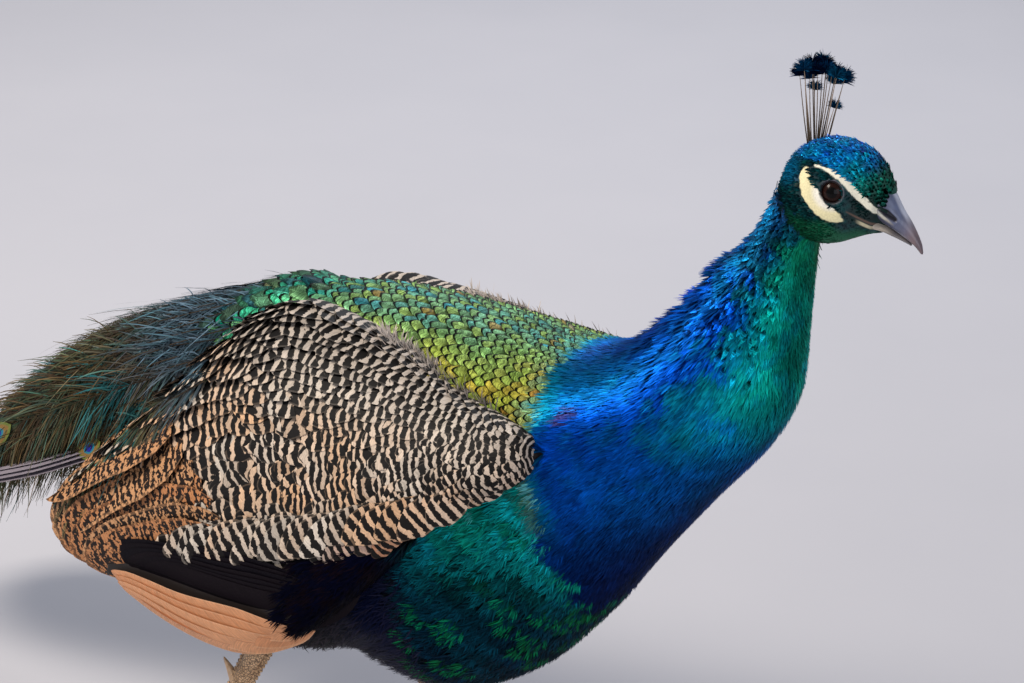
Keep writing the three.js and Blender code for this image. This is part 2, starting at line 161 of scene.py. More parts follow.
# ---------- body forms ----------
class Form:
    """A rounded form lofted through sections: a back point, a belly point, a half width and a fullness."""

    def __init__(self, sections, cap=0.04, place=None):
        self.tops = np.array([s[0] for s in sections], float)
        self.lows = np.array([s[1] for s in sections], float)
        self.sizes = np.array([[s[2], s[3]] for s in sections], float)
        self.cap = cap
        self.place = place

    def at(self, t, angle, grow=0.0):
        """Points at t along the form and at angle degrees round it, grow millimetres outside it."""
        t, angle = np.broadcast_arrays(np.asarray(t, float), np.radians(angle))
        top, low = spline(self.tops, t), spline(self.lows, t)
        half, full = np.moveaxis(spline(self.sizes, t), -1, 0)
        ahead_t, back_t = np.minimum(1, t + 0.01), np.maximum(0, t - 0.01)
        ahead = unit(
            spline(self.tops, ahead_t) + spline(self.lows, ahead_t)
            - spline(self.tops, back_t) - spline(self.lows, back_t)
        )
        rise = (top - low) / 2
        up = unit(rise)
        across = unit(np.cross(up, ahead))
        height = np.linalg.norm(rise, axis=-1)
        close = np.sqrt(np.maximum(0, 1 - (1 - np.minimum(1, np.minimum(t, 1 - t) / self.cap)) ** 2))
        power = 2 / full

        def swell(x):
            return np.sign(x) * np.abs(x) ** power

        tall = (height + np.maximum(grow, -0.6 * height)) * close * swell(np.cos(angle))
        wide = (half + np.maximum(grow, -0.6 * half)) * close * swell(np.sin(angle))
        points = (top + low) / 2 + up * tall[..., None] + across * wide[..., None]
        return self.place(points) if self.place else points

    def way(self, t, angle):
        """The direction in which t grows."""
        return unit(self.at(np.minimum(1, t + 0.01), angle) - self.at(np.maximum(0, t - 0.01), angle))

    def outward(self, t, angle):
        return unit(self.at(t, angle, 2.0) - self.at(t, angle, 0.0))

    def shell(self, rings, sides, grow=0.0, turn=0.0):
        """The form's own closed surface as corners and four-cornered faces."""
        t = (1 - np.cos(np.linspace(0, math.pi, rings))) / 2
        angle = turn + np.arange(sides) * 360 / sides
        corners = self.at(t[:, None], angle[None, :], grow)
        return corners.reshape(-1, 3), tube_faces(rings, sides)


def tube_faces(rings, sides):
    ring, side = np.meshgrid(np.arange(rings - 1), np.arange(sides), indexing="ij")
    beside = (side + 1) % sides
    return np.stack(
        [ring * sides + side, (ring + 1) * sides + side, (ring + 1) * sides + beside, ring * sides + beside], -1
    ).reshape(-1, 4)


NECK_BASE_Z = 430.0


def neck_swing(z):
    """How far the neck swings to the side that the head is carried on."""
    return HEAD_AT[1] * min(1.0, max(0.0, z - NECK_BASE_Z) / (HEAD_AT[2] - NECK_BASE_Z)) ** 1.3


def midline(rows, swing=None):
    """Sections on the bird's mid-plane from rows of back x, back z, belly x, belly z, half width and fullness."""
    made = []
    for back_x, back_z, belly_x, belly_z, half, full in rows:
        y = swing((back_z + belly_z) / 2) if swing else 0.0
        made.append(((back_x, y, back_z), (belly_x, y, belly_z), half, full))
    return made


BODY_FORM = Form(midline([
    (268, 609, 290, 572, 18, 2), (251, 587, 277, 552, 21.5, 2), (233, 559, 272, 522, 25.5, 2),
    (206, 530, 268, 484, 32, 2), (168, 487, 262, 443, 44, 2), (128, 453, 241, 404, 56, 2),
    (84, 441, 202, 356, 68, 2.1), (34, 442, 160, 302, 77, 2.2), (-20, 443, 116, 242, 83, 2.3),
    (-76, 441, 62, 184, 86, 2.3), (-130, 431, -6, 151, 85, 2.3), (-182, 411, -84, 160, 78, 2.2),
    (-228, 380, -156, 198, 63, 2.1), (-268, 354, -212, 246, 42, 2), (-298, 330, -262, 288, 20, 2),
], neck_swing), cap=0.03)

HEAD_SECTIONS = midline([
    (-35, 0, -35, -14, 8, 2), (-29, 14, -29, -26, 15, 2), (-18, 24, -18, -34, 19.5, 2.1),
    (-6, 28.4, -6, -37, 20, 2.1), (6, 28.4, 6, -33.5, 18.8, 2.1), (15, 26, 15, -28, 15.8, 2.1),
    (23, 20.5, 23, -23, 13, 2.1), (30, 12, 30, -20, 10, 2), (35, 5, 35, -17, 7.5, 2),
])
HEAD_FORM = Form(HEAD_SECTIONS, cap=0.1, place=on_head)
FACE_FORM = Form(HEAD_SECTIONS, cap=0.1)

WING_SECTIONS = [
    ((114, -70, 402), (118, -78, 386), 12, 2.2), ((92, -68, 409), (96, -96, 364), 19, 2.2),
    ((46, -58, 414), (50, -105, 334), 24, 2.2), ((-10, -50, 429), (-12, -108, 268), 27, 2.2),
    ((-62, -46, 437), (-72, -107, 208), 27, 2.2), ((-118, -44, 437), (-130, -103, 174), 23, 2.2),
    ((-186, -46, 394), (-194, -97, 165), 16, 2.2), ((-256, -49, 326), (-258, -88, 167), 11, 2.2),
    ((-326, -52, 262), (-322, -76, 170), 8, 2.2), ((-384, -54, 204), (-376, -62, 172), 4, 2.2),
]
SHOULDER = np.array(WING_SECTIONS[0][0], float)
LEFT_WING_DIP = math.radians(4.4)
LEFT_WING_RISE = 5.5


def to_left(points):
    """Mirrors the right wing to the left side, where the shoulder is carried higher and the tip lower."""
    x, y, z = np.moveaxis(np.asarray(points, float), -1, 0)
    x, z = x - SHOULDER[0], z - SHOULDER[2]
    cos, sin = math.cos(-LEFT_WING_DIP), math.sin(-LEFT_WING_DIP)
    return np.stack([SHOULDER[0] + x * cos + z * sin, -y, SHOULDER[2] + z * cos - x * sin + LEFT_WING_RISE], -1)


RIGHT_WING = Form(WING_SECTIONS, cap=0.05)
LEFT_WING = Form(WING_SECTIONS, cap=0.05, place=to_left)

TRAIN_FORM = Form(midline([
    (-90, 430, -120, 380, 22, 2), (-150, 433, -170, 360, 40, 2.2), (-214, 408, -222, 330, 46, 2.3),
    (-290, 375, -290, 288, 50, 2.3), (-360, 337, -358, 244, 53, 2.3), (-420, 290, -420, 210, 54, 2.3),
    (-470, 238, -470, 184, 50, 2.3), (-530, 190, -530, 158, 42, 2.2), (-590, 156, -590, 136, 31, 2),
    (-636, 134, -636, 124, 16, 2),
]), cap=0.06)
TAIL_FORM = Form(midline([
    (-262, 316, -262, 282, 22, 2), (-330, 272, -330, 244, 38, 2.4), (-400, 236, -400, 214, 50, 2.6),
    (-470, 207, -470, 189, 60, 2.6), (-540, 179, -540, 162, 67, 2.6), (-610, 150, -610, 135, 65, 2.4),
    (-680, 121, -680, 112, 44, 2),
]), cap=0.08)

LEGS = {
    "right": dict(side=-1, heading=-6, knee=(-20, -52, 250), shin=(-108, -42, 190), hock=(-176, -32, 144),
                  foot=(-246, -30, 20)),
    "left": dict(side=1, heading=8, knee=(36, 50, 250), shin=(-34, 42, 188), hock=(-88, 33, 140),
                 foot=(-12, 27, 20)),
}


def between(a, b, share):
    a, b = np.array(a, float), np.array(b, float)
    return a + (b - a) * share


def limb(stations, up, cap=0.05):
    """A form with round sections of radius r about a line of points."""
    up = np.array(up, float)
    return Form([(np.array(at) + up * r, np.array(at) - up * r, r, 2) for at, r in stations], cap)


def thigh_form(leg):
    end = between(leg["shin"], leg["hock"], 0.82)
    return limb([(leg["knee"], 44), (leg["shin"], 30), (end, 13)], (0, 1, 0), cap=0.12)


THIGHS = {name: thigh_form(leg) for name, leg in LEGS.items()}

COAT = {"body": 5.0, "head": 3.2, "wing": 6.0, "train": 6.0, "thigh": 6.0}  # depth of the feathers on each form
TRAIN_THINNING = 12.0  # how much deeper the skin lies under the train's loose end than under its root


# ---------- meshes ----------
def new_object(name, corners, faces, tint=None):
    """A smooth mesh from corners in the bird's frame. Four-cornered faces point outwards."""
    mesh = bpy.data.meshes.new(name)
    mesh.vertices.add(len(corners))
    mesh.vertices.foreach_set("co", metres(corners).astype(np.float32).ravel())
    mesh.loops.add(faces.size)
    mesh.loops.foreach_set("vertex_index", faces.astype(np.int32).ravel())
    mesh.polygons.add(len(faces))
    mesh.polygons.foreach_set("loop_start", np.arange(0, faces.size, faces.shape[1], dtype=np.int32))
    mesh.update(calc_edges=True)
    mesh.shade_smooth()
    made = bpy.data.objects.new(name, mesh)
    bpy.context.scene.collection.objects.link(made)
    if tint is not None:
        paint(mesh, tint)
    return made


def paint(mesh, tint):
    layer = mesh.color_attributes.new("Tint", "FLOAT_COLOR", "POINT")
    colour = np.ones((len(tint), 4), np.float32)
    colour[:, :3] = np.clip(tint, 0, 1)
    layer.data.foreach_set("color", colour.ravel())


def corners_of(piece):
    """The mesh's corners in the bird's frame."""
    flat = np.empty(len(piece.data.vertices) * 3, np.float32)
    piece.data.vertices.foreach_get("co", flat)
    return flat.reshape(-1, 3) / MM - ORIGIN


def triangles_of(piece):
    piece.data.calc_loop_triangles()
    flat = np.empty(len(piece.data.loop_triangles) * 3, np.int32)
    piece.data.loop_triangles.foreach_get("vertices", flat)
    return flat.reshape(-1, 3)


def baked(piece):
    """Applies the piece's modifiers and gives it back as a plain mesh."""
    graph = bpy.context.evaluated_depsgraph_get()
    mesh = bpy.data.meshes.new_from_object(piece.evaluated_get(graph))
    piece.modifiers.clear()
    old = piece.data
    piece.data = mesh
    bpy.data.meshes.remove(old)
    return piece


def fused(name, shells, voxel, smoothing):
    """Closed shells grown together into one smooth skin."""
    corners, faces, start = [], [], 0
    for shell_corners, shell_faces in shells:
        corners.append(shell_corners)
        faces.append(shell_faces + start)
        start += len(shell_corners)
    piece = new_object(name, np.vstack(corners), np.vstack(faces))
    remesh = piece.modifiers.new("grow together", "REMESH")
    remesh.mode = "VOXEL"
    remesh.voxel_size = voxel * MM
    soften = piece.modifiers.new("soften", "SMOOTH")
    soften.factor = 0.5
    soften.iterations = smoothing
    baked(piece)
    piece.data.shade_smooth()
    return piece


def joined(piece, others):
    """Grows other meshes onto a piece, which keeps its name."""
    bpy.ops.object.select_all(action="DESELECT")
    for each in (piece, *others):
        each.select_set(True)
    bpy.context.view_layer.objects.active = piece
    bpy.ops.object.join()
    piece.select_set(False)


def tree_of(piece):
    corners = corners_of(piece)
    return BVHTree.FromPolygons([Vector(c) for c in corners], triangles_of(piece).tolist())


# ---------- the body's skin, inside the coat ----------
def flesh_shells():
    train_t = (1 - np.cos(np.linspace(0, math.pi, 60))) / 2
    train_depth = COAT["train"] + TRAIN_THINNING * ramp(0.16, 0.4, train_t)
    shells = [
        BODY_FORM.shell(90, 64, -COAT["body"]),
        HEAD_FORM.shell(50, 48, -COAT["head"], turn=3.0),
        RIGHT_WING.shell(70, 48, -COAT["wing"]),
        LEFT_WING.shell(70, 48, -COAT["wing"]),
        TRAIN_FORM.shell(60, 48, -train_depth[:, None]),
    ]
    shells += [form.shell(30, 32, -COAT["thigh"]) for form in THIGHS.values()]
    return shells


skin = fused("skin", flesh_shells(), voxel=4.0, smoothing=4)
lie = tree_of(skin)


WINGS = ["right_wing", "left_wing"]


class Cloud:
    """Finds which form a point of the skin belongs to, where on it, and which way the feathers grow there."""

    FORMS = [
        ("body", BODY_FORM, 1), ("head", HEAD_FORM, -1), ("right_wing", RIGHT_WING, 1),
        ("left_wing", LEFT_WING, 1), ("train", TRAIN_FORM, 1),
        ("thigh", THIGHS["right"], 1), ("thigh", THIGHS["left"], 1),
    ]

    def __init__(self):
        t, angle = np.meshgrid(np.linspace(0.01, 0.99, 110), np.arange(0, 360, 6.0), indexing="ij")
        t, angle = t.ravel(), angle.ravel()
        depth = {"right_wing": COAT["wing"], "left_wing": COAT["wing"]}
        self.kind, self.t, self.angle, self.way, spots = [], [], [], [], []
        for name, form, sense in self.FORMS:
            spots.append(form.at(t, angle, -depth.get(name, COAT.get(name, 5.0))))
            self.kind += [name] * len(t)
            self.t.append(t)
            self.angle.append(angle)
            self.way.append(form.way(t, angle) * sense)
        self.kind = np.array(self.kind)
        self.t, self.angle = np.concatenate(self.t), np.concatenate(self.angle)
        self.way = np.concatenate(self.way)
        spots = np.concatenate(spots)
        self.tree = KDTree(len(spots))
        for i, spot in enumerate(spots):
            self.tree.insert(spot, i)
        self.tree.balance()

    def nearest(self, points):
        return np.array([self.tree.find(point)[1] for point in points])


cloud = Cloud()


def scatter(piece, count, part, keep=None):
    """Random roots over the skin: places and outward normals."""
    rng = random(part)
    corners, triangles = corners_of(piece), triangles_of(piece)
    a, b, c = (corners[triangles[:, k]] for k in range(3))
    face = np.cross(b - a, c - a)
    area = np.linalg.norm(face, axis=1)
    if keep is not None:
        area = area * keep((a + b + c) / 3)
    pick = np.searchsorted(np.cumsum(area) / area.sum(), rng.random(count))
    u, v = rng.random((2, count, 1))
    u, v = np.where(u + v > 1, 1 - u, u), np.where(u + v > 1, 1 - v, v)
    points = a[pick] + (b - a)[pick] * u + (c - a)[pick] * v
    return points, unit(face[pick])


# ---------- feathers ----------
class Vane:
    """The grid that every feather of one kind is made on: shares along the spine and across the vane."""

    def __init__(self, rows, columns, outline, blunt=0.0, cup=0.0, ragged=0.0):
        s, v = np.meshgrid(np.linspace(0, 1, rows + 1), np.linspace(-1, 1, columns + 1), indexing="ij")
        self.s, self.v = s.ravel(), v.ravel()
        row, column = np.meshgrid(np.arange(rows), np.arange(columns), indexing="ij")
        first = (row * (columns + 1) + column).ravel()
        self.faces = np.stack([first, first + 1, first + columns + 2, first + columns + 1], 1)
        self.wide = np.interp(self.s, *zip(*outline))
        self.blunt, self.cup, self.ragged = blunt, cup, ragged


STRAND = Vane(3, 1, [(0, 0.45), (0.35, 1), (0.75, 0.8), (1, 0.1)])
BARB = Vane(4, 1, [(0, 0.7), (0.3, 1), (0.8, 0.8), (1, 0.25)])
SCALE = Vane(6, 6, [(0, 0.45), (0.45, 0.92), (0.75, 1), (1, 0.8)], blunt=0.3, cup=0.28, ragged=0.012)
SMALL_SCALE = Vane(3, 2, [(0, 0.5), (0.5, 1), (1, 0.7)], blunt=0.35, cup=0.25)
SOFT = Vane(7, 8, [(0, 0.4), (0.4, 0.9), (0.7, 1), (1, 0.85)], blunt=0.3, cup=0.3, ragged=0.05)
COVERT = Vane(9, 8, [(0, 0.45), (0.35, 0.9), (0.7, 1), (0.9, 0.93), (1, 0.72)], blunt=0.24, cup=0.1, ragged=0.012)
QUILL = Vane(22, 8, [(0, 0.25), (0.12, 0.7), (0.35, 1), (0.8, 1), (0.93, 0.82), (1, 0.5)], blunt=0.05, cup=0.05,
             ragged=0.002)


def lay(roots, ways, lengths, steps, stiff):
    """Walks each spine over the skin from its root. A stiff feather stands off where the skin falls away."""
    count = len(roots)
    points = np.empty((count, steps + 1, 3))
    normals = np.empty((count, steps + 1, 3))
    for i in range(count):
        spot, way = Vector(roots[i]), Vector(ways[i])
        up = lie.find_nearest(spot)[1]
        way = (way - up * way.dot(up)).normalized()
        stride = lengths[i] / steps
        for k in range(steps + 1):
            points[i, k] = spot
            normals[i, k] = up
            ahead = spot + way * stride
            hit, face = lie.find_nearest(ahead)[:2]
            hold = stiff if (ahead - hit).dot(face) > 0 else 0.0
            spot = hit.lerp(ahead, hold)
            up = up.lerp(face, 0.6).normalized()
            way = (way - up * (way.dot(up) * (1 - hold))).normalized()
    return points, normals


def vanes(shape, points, normals, half, lift, part):
    """Corners of the feathers of one kind: count by corner by 3. Lift is the height at the root and at the tip."""
    count, stations = points.shape[:2]
    rng = random(part)
    share = shape.s * (1 - shape.blunt * shape.v**2)
    share = share[None, :] + rng.normal(0, 1, (count, len(share))) * shape.ragged * (shape.s > 0.6)
    share = np.clip(share, 0, 1)
    place = share * (stations - 1)
    at = np.minimum(place.astype(int), stations - 2)
    f = (place - at)[..., None]
    row = np.arange(count)[:, None]
    centre = points[row, at] * (1 - f) + points[row, at + 1] * f
    ahead = unit(points[row, at + 1] - points[row, at])
    up = normals[row, at] * (1 - f) + normals[row, at + 1] * f
    side = unit(np.cross(ahead, up))
    up = np.cross(side, ahead)
    wide = np.asarray(half)[:, None] * shape.wide[None, :]
    low, high = (np.broadcast_to(value, count)[:, None] for value in lift)
    height = low + (high - low) * share - shape.cup * wide * shape.v**2
    return centre + side * (shape.v * wide)[..., None] + up * height[..., None]


def cells(along, around):
    """One patch of the unwrap for each big feather, set out by its place on the form: centres and patch size."""
    count = len(along)
    across = math.ceil(math.sqrt(count))
    centres = np.empty((count, 2))
    order = np.argsort(along, kind="stable")
    for row in range(across):
        members = order[row * across : (row + 1) * across]
        members = members[np.argsort(around[members], kind="stable")]
        centres[members, 0] = (np.arange(len(members)) + 0.5) / across
        centres[members, 1] = (row + 0.5) / across
    return centres, 0.92 / across


def unwrapped(t, angle):
    """The place of small tufts on an unwrap of their form, and the size of a tuft's patch."""
    return np.stack([0.01 + 0.98 * (np.asarray(angle) % 360) / 360, 0.01 + 0.98 * np.asarray(t)], -1), 0.003


class Coat:
    """Gathers feathers of one or more kinds into one piece."""

    def __init__(self):
        self.corners, self.faces, self.tint, self.size = [], [], [], []
        self.feather, self.bake, self.count = [], [], 0

    def add(self, shape, corners, tint, size, patches, flip=False):
        """Size is each feather's width, length and own random number. Patches are centres and a patch size."""
        count, per = corners.shape[:2]
        faces = shape.faces[None] + (np.arange(count) * per)[:, None, None] + self.count
        if flip:
            faces = faces[..., ::-1]
        self.faces.append(faces.reshape(-1, 4))
        self.corners.append(corners.reshape(-1, 3))
        if tint.ndim == 2:
            tint = np.repeat(tint[:, None, :], per, axis=1)
        self.tint.append(tint.reshape(-1, 3))
        self.size.append(np.repeat(size[:, None, :], per, axis=1).reshape(-1, 3))
        own = np.stack([shape.v / 2 + 0.5, shape.s], -1)
        self.feather.append(np.tile(own, (count, 1)))
        centres, patch = patches
        self.bake.append((centres[:, None, :] + (own - 0.5)[None] * patch).reshape(-1, 2))
        self.count += count * per
        return self

    def grow(self, shape, roots, ways, lengths, halves, lift, tint, part, patches, stiff, steps=3, raised=None):
        """Adds feathers that lie over the skin from their roots on, raised off it if asked."""
        spine, up = lay(roots, ways, lengths, steps, stiff)
        if raised is not None:
            spine = spine + raised[:, None]
        corners = vanes(shape, spine, up, halves, lift, part + "vanes")
        return self.add(shape, corners, tint, sizes(halves, lengths, part), patches)

    def piece(self, name, material, slot, *nodes):
        faces = np.concatenate(self.faces)
        made = new_object(name, np.concatenate(self.corners), faces, np.concatenate(self.tint))
        mesh = made.data
        loops = faces.ravel()
        for label, values in (("Feather", self.feather), ("OFBake", self.bake)):
            layer = mesh.uv_layers.new(name=label)
            layer.data.foreach_set("uv", np.concatenate(values)[loops].astype(np.float32).ravel())
        size = mesh.attributes.new("Size", "FLOAT_VECTOR", "POINT")
        size.data.foreach_set("vector", np.concatenate(self.size).astype(np.float32).ravel())
        return dressed(made, material, slot, *nodes)


def dressed(piece, material, slot, *nodes):
    """Gives a finished piece its material, hangs it on the root body and hides the model's parts that it replaces.
    The slot is not used.
    """
    piece.data.materials.clear()
    piece.data.materials.append(material)
    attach(piece, "root")
    if nodes:
        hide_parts(*nodes)
    return piece


def sizes(half, lengths, part, own=None):
    """Each feather's width, length and own number, which is random unless it is given."""
    return np.stack([2 * half, lengths, random(part).random(len(half)) if own is None else own], -1)


def shade_of(count, part, spread=0.22):
    """A lighter or darker share for each feather."""
    return 1 + random(part + "shade").normal(0, spread, (count, 1)).clip(-2 * spread, 2 * spread)


def rows_on(form, span, around, pitch, gap, part):
    """Roots in rows, each set between those of the row before: t and angle. Pitch and gap are functions of t."""
    rng = random(part)
    t, turn = span[0], 0
    found_t, found_angle = [], []
    angles = np.linspace(*around, 121)
    while t < span[1]:
        line = form.at(np.full_like(angles, t), angles)
        arc = np.concatenate([[0], np.cumsum(np.linalg.norm(np.diff(line, axis=0), axis=1))])
        step = gap(t)
        spots = np.arange(step * (0.25 + 0.5 * (turn % 2)), arc[-1], step)
        spots = spots + rng.normal(0, 0.06 * step, len(spots))
        found_angle.append(np.interp(spots, arc, angles))
        found_t.append(np.full(len(spots), t) + rng.normal(0, 0.1, len(spots)) * 0.004)
        ahead = form.at(np.full_like(angles, min(1, t + 0.01)), angles)
        speed = np.linalg.norm(ahead - line, axis=1).mean() / 0.01
        t += pitch(t) / max(speed, 1e-6)
        turn += 1
    return np.concatenate(found_t), np.concatenate(found_angle)


def rooted(form, t, angle, depth, reach=9.0):
    """Sets roots on the skin under the form, and tells which of them another form covers."""
    surface = form.at(t, angle, -depth)
    outward = form.outward(t, angle)
    start = surface + outward * 40
    points = surface.copy()
    open_ = np.zeros(len(t), bool)
    for i in range(len(t)):
        hit = lie.ray_cast(Vector(start[i]), Vector(-outward[i]), 80)[0]
        if hit is not None:
            points[i] = hit
            open_[i] = np.linalg.norm(points[i] - surface[i]) < reach
    return points, open_


# ---------- where each tract of feathers lies on the body ----------
# The blue of the neck ends here: height, and how far forward.
NECK_EDGE = [(240, 138), (277, 130), (317, 125), (348, 119), (384, 111), (408, 105), (424, 109), (441, 102)]
BREAST_END = 6.0  # the scaled breast gives way to dark down behind this x
RUST_SPOTS = [((133.6, -55.7, 425.8), 9.0), ((119.3, -62.3, 302.7), 8.0)]  # a few worn brown feathers
MANTLE_SIDE = 84.0  # degrees from the ridge to the edge of the scaled mantle
BARBS_IN_A_BREAST_FEATHER = 46


def ahead_of_edge(points):
    """How far in front of the neck's lower edge each point lies."""
    edge = np.interp(points[..., 2], *zip(*NECK_EDGE))
    return points[..., 0] - edge - 4 * ripple(points, 30, "edge")


def neck_tint(points, front, wave, fine, border):
    """Blue at the sides and nape, turquoise then green towards the throat, darker low down."""
    z = points[..., 2]
    height = ramp(400, 480, z)
    streak = 0.12 * fine + 0.08 * wave
    neck = blend(ROYAL, NAVY, np.clip(0.28 + 0.3 * wave + 0.18 * fine, 0, 0.8),
                 AZURE, np.clip(0.25 * fine - 0.1 + 0.5 * ramp(0.45, 0.2, front), 0, 0.6),
                 TEAL, ramp(0.36, 0.6, front + streak) * (0.12 + 0.8 * height),
                 GREEN, ramp(0.58, 0.84, front + streak) * (0.1 + 0.75 * height),
                 TEAL, 0.6 * np.clip(1.6 * fine, 0, 1) * ramp(0.5, 0.7, front) * height,
                 DEEP_GREEN, 0.5 * ramp(0.84, 1.0, front) * ramp(560, 500, z))
    neck = neck * (1 + 0.5 * ramp(0.5, 0.7, front) * height)[..., None]
    upper = blend("#0a6c9c", "#0a3038", ramp(0.2, 0.42, front), "#0c6a44", ramp(0.62, 0.8, front + streak))
    on_back = ramp(330, 370, z)
    neck = blend(neck, TEAL, 0.4 * ramp(0.34, 0.1, front) * ramp(480, 430, z),
                 NAVY, 0.75 * ramp(410, 300, z) * ramp(0.3, 0.65, front),
                 INK, 0.6 * ramp(400, 330, z) * ramp(0.6, 0.95, front),
                 upper, 0.85 * ramp(515, 560, z + 12 * fine),
                 TEAL, 0.8 * ramp(20, 4, border + 3 * fine) * on_back,
                 LEAF, 0.8 * ramp(7, 0, border + 2 * fine) * on_back)
    for spot, reach in RUST_SPOTS:
        far = np.linalg.norm(points - spot, axis=-1)
        neck = blend(neck, "#3a1a10", 0.7 * ramp(reach, 0.4 * reach, far + 6 * fine))
    return neck


def body_tint(points, t, angle):
    """The marking of neck, breast, back and belly, which skin and feathers share."""
    x, z = points[..., 0], points[..., 2]
    front = (1 - np.cos(np.radians(angle))) / 2  # 0 at the nape, 1 at the throat
    wave, fine = ripple(points, 60, "wave"), ripple(points, 14, "fine")
    border = ahead_of_edge(points)
    aside = np.abs((angle + 180) % 360 - 180)  # degrees from the ridge
    from_ridge = aside + 10 * wave
    back = blend(GOLD, LEAF, np.clip(0.3 + 0.5 * fine, 0, 0.8),
                 "#5a9258", 0.7 * ramp(50, 24, from_ridge),
                 SEA, np.clip(ramp(30, 6, from_ridge) * (0.3 + 0.5 * fine), 0, 0.8),
                 SEA, 0.5 * ramp(16, 4, -border) * np.clip(0.5 + 0.6 * fine, 0, 1),
                 "#a06a34", 0.45 * ramp(64, 84, from_ridge) * np.clip(0.4 + 0.6 * fine, 0, 1),
                 GREEN, np.clip(0.75 + 0.3 * fine, 0, 1) * ramp(-60, -150, x))
    breast = blend("#0a98a0", "#07805a", np.clip(0.3 + 0.5 * fine, 0, 1), AZURE, np.clip(0.5 * wave, 0, 0.5),
                   "#031a34", 0.92 * ramp(345, 262, z + 16 * wave))
    on_top = ramp(94, 82, aside)
    belly = ramp(BREAST_END + 8, BREAST_END - 8, x) * (1 - on_top)
    return blend(breast, back, on_top, blend(SOOT, INK, 0.5 + 0.4 * wave), belly,
                 neck_tint(points, front, wave, fine, border), ramp(-3, 3, border))


def spot_tint(points, kinds, t, angle):
    """The marking of any point of the skin."""
    tint = body_tint(points, t, angle)
    tint[kinds == "train"] = blend(DEEP_GREEN, SOOT, 0.6)
    tint[kinds == "thigh"] = SOOT
    tint[np.isin(kinds, WINGS)] = linear("#1a1311")
    return tint


# ---------- materials ----------
MATH = "ShaderNodeMath"
RANGE = "ShaderNodeMapRange"
MIX = "ShaderNodeMix"
NOISE = "ShaderNodeTexNoise"
BUMP = "ShaderNodeBump"
READ = "ShaderNodeAttribute"
PARTS = "ShaderNodeSeparateXYZ"
TIMES = {"operation": "MULTIPLY"}
PLUS = {"operation": "ADD"}
LESS = {"operation": "SUBTRACT"}
LARGER = {"operation": "MAXIMUM"}
PLAIN = {"operation": "ABSOLUTE"}
SMOOTH = {"interpolation_type": "SMOOTHSTEP"}
LAID_OVER = {"data_type": "RGBA"}
DIMMED = {"data_type": "RGBA", "blend_type": "MULTIPLY"}


def fill(tree, node, inputs):
    """Gives a node's inputs, by name or by place, their values or the nodes and outputs that feed them."""
    shown = [socket for socket in node.inputs if socket.enabled]
    for name, value in inputs.items():
        socket = node.inputs[name] if isinstance(name, str) else shown[name]
        if isinstance(value, bpy.types.Node):
            value = next(output for output in value.outputs if output.enabled)
        if isinstance(value, bpy.types.NodeSocket):
            tree.links.new(value, socket)
        else:
            socket.default_value = value


def put(tree, kind, *inputs, **settings):
    """Adds a node with its settings, and fills its inputs in order, or by name from one set of names."""
    made = tree.nodes.new(kind)
    for name, value in settings.items():
        setattr(made, name, value)
    by_name = inputs and isinstance(inputs[0], dict)
    fill(tree, made, inputs[0] if by_name else dict(enumerate(inputs)))
    return made


def begin(name, **surface):
    """A new material with one Principled surface: the material, its tree and its shader."""
    material = bpy.data.materials.new(name)
    material.use_nodes = True
    tree = material.node_tree
    tree.nodes.clear()
    values = {key.replace("_", " "): value for key, value in surface.items()}
    shader = put(tree, "ShaderNodeBsdfPrincipled", values)
    put(tree, "ShaderNodeOutputMaterial", {"Surface": shader})
    return material, tree, shader


def rgba(hexes):
    return (*linear(hexes), 1.0)


class Reading:
    """What a feather's mesh tells its material."""

    def __init__(self, tree):
        self.tint = put(tree, READ, attribute_name="Tint")
        spot = put(tree, PARTS, put(tree, "ShaderNodeUVMap", uv_map="Feather"))
        size = put(tree, PARTS, put(tree, READ, attribute_name="Size").outputs["Vector"])
        self.across, self.along = spot.outputs[:2]
        self.width, self.length, self.number = size.outputs[:3]
        self.side = put(tree, MATH, self.across, 0.5, **LESS)
        self.off = put(tree, MATH, self.side, **PLAIN)


def barbs(tree, read, spacing, slant=0.9):
    """Fine lines that leave the quill at a slant, drawn coarser than real barbs so that they show: 0 to 1."""
    run = put(tree, MATH, read.along, read.length, **TIMES)
    out = put(tree, MATH, read.off, read.width, **TIMES)
    line = put(tree, MATH, run, put(tree, MATH, out, slant, **TIMES), **LESS)
    place = put(tree, "ShaderNodeCombineXYZ", put(tree, MATH, line, 1 / spacing, **TIMES),
                put(tree, MATH, out, 0.12, **TIMES), put(tree, MATH, read.number, 91.0, **TIMES))
    return put(tree, NOISE, {"Vector": place, "Scale": 1.0, "Detail": 2.0})


def finish_vane(tree, shader, read, colour, streak):
    """Bump along the barbs and over the quill, and the colour, go to the shader."""
    quill = put(tree, RANGE, read.off, 0.05, 0.0, **SMOOTH)
    height = put(tree, MATH, streak, quill, **PLUS)
    bump = put(tree, BUMP, {"Strength": 0.25, "Distance": 0.0006, "Height": height})
    fill(tree, shader, {"Normal": bump, "Base Color": colour})


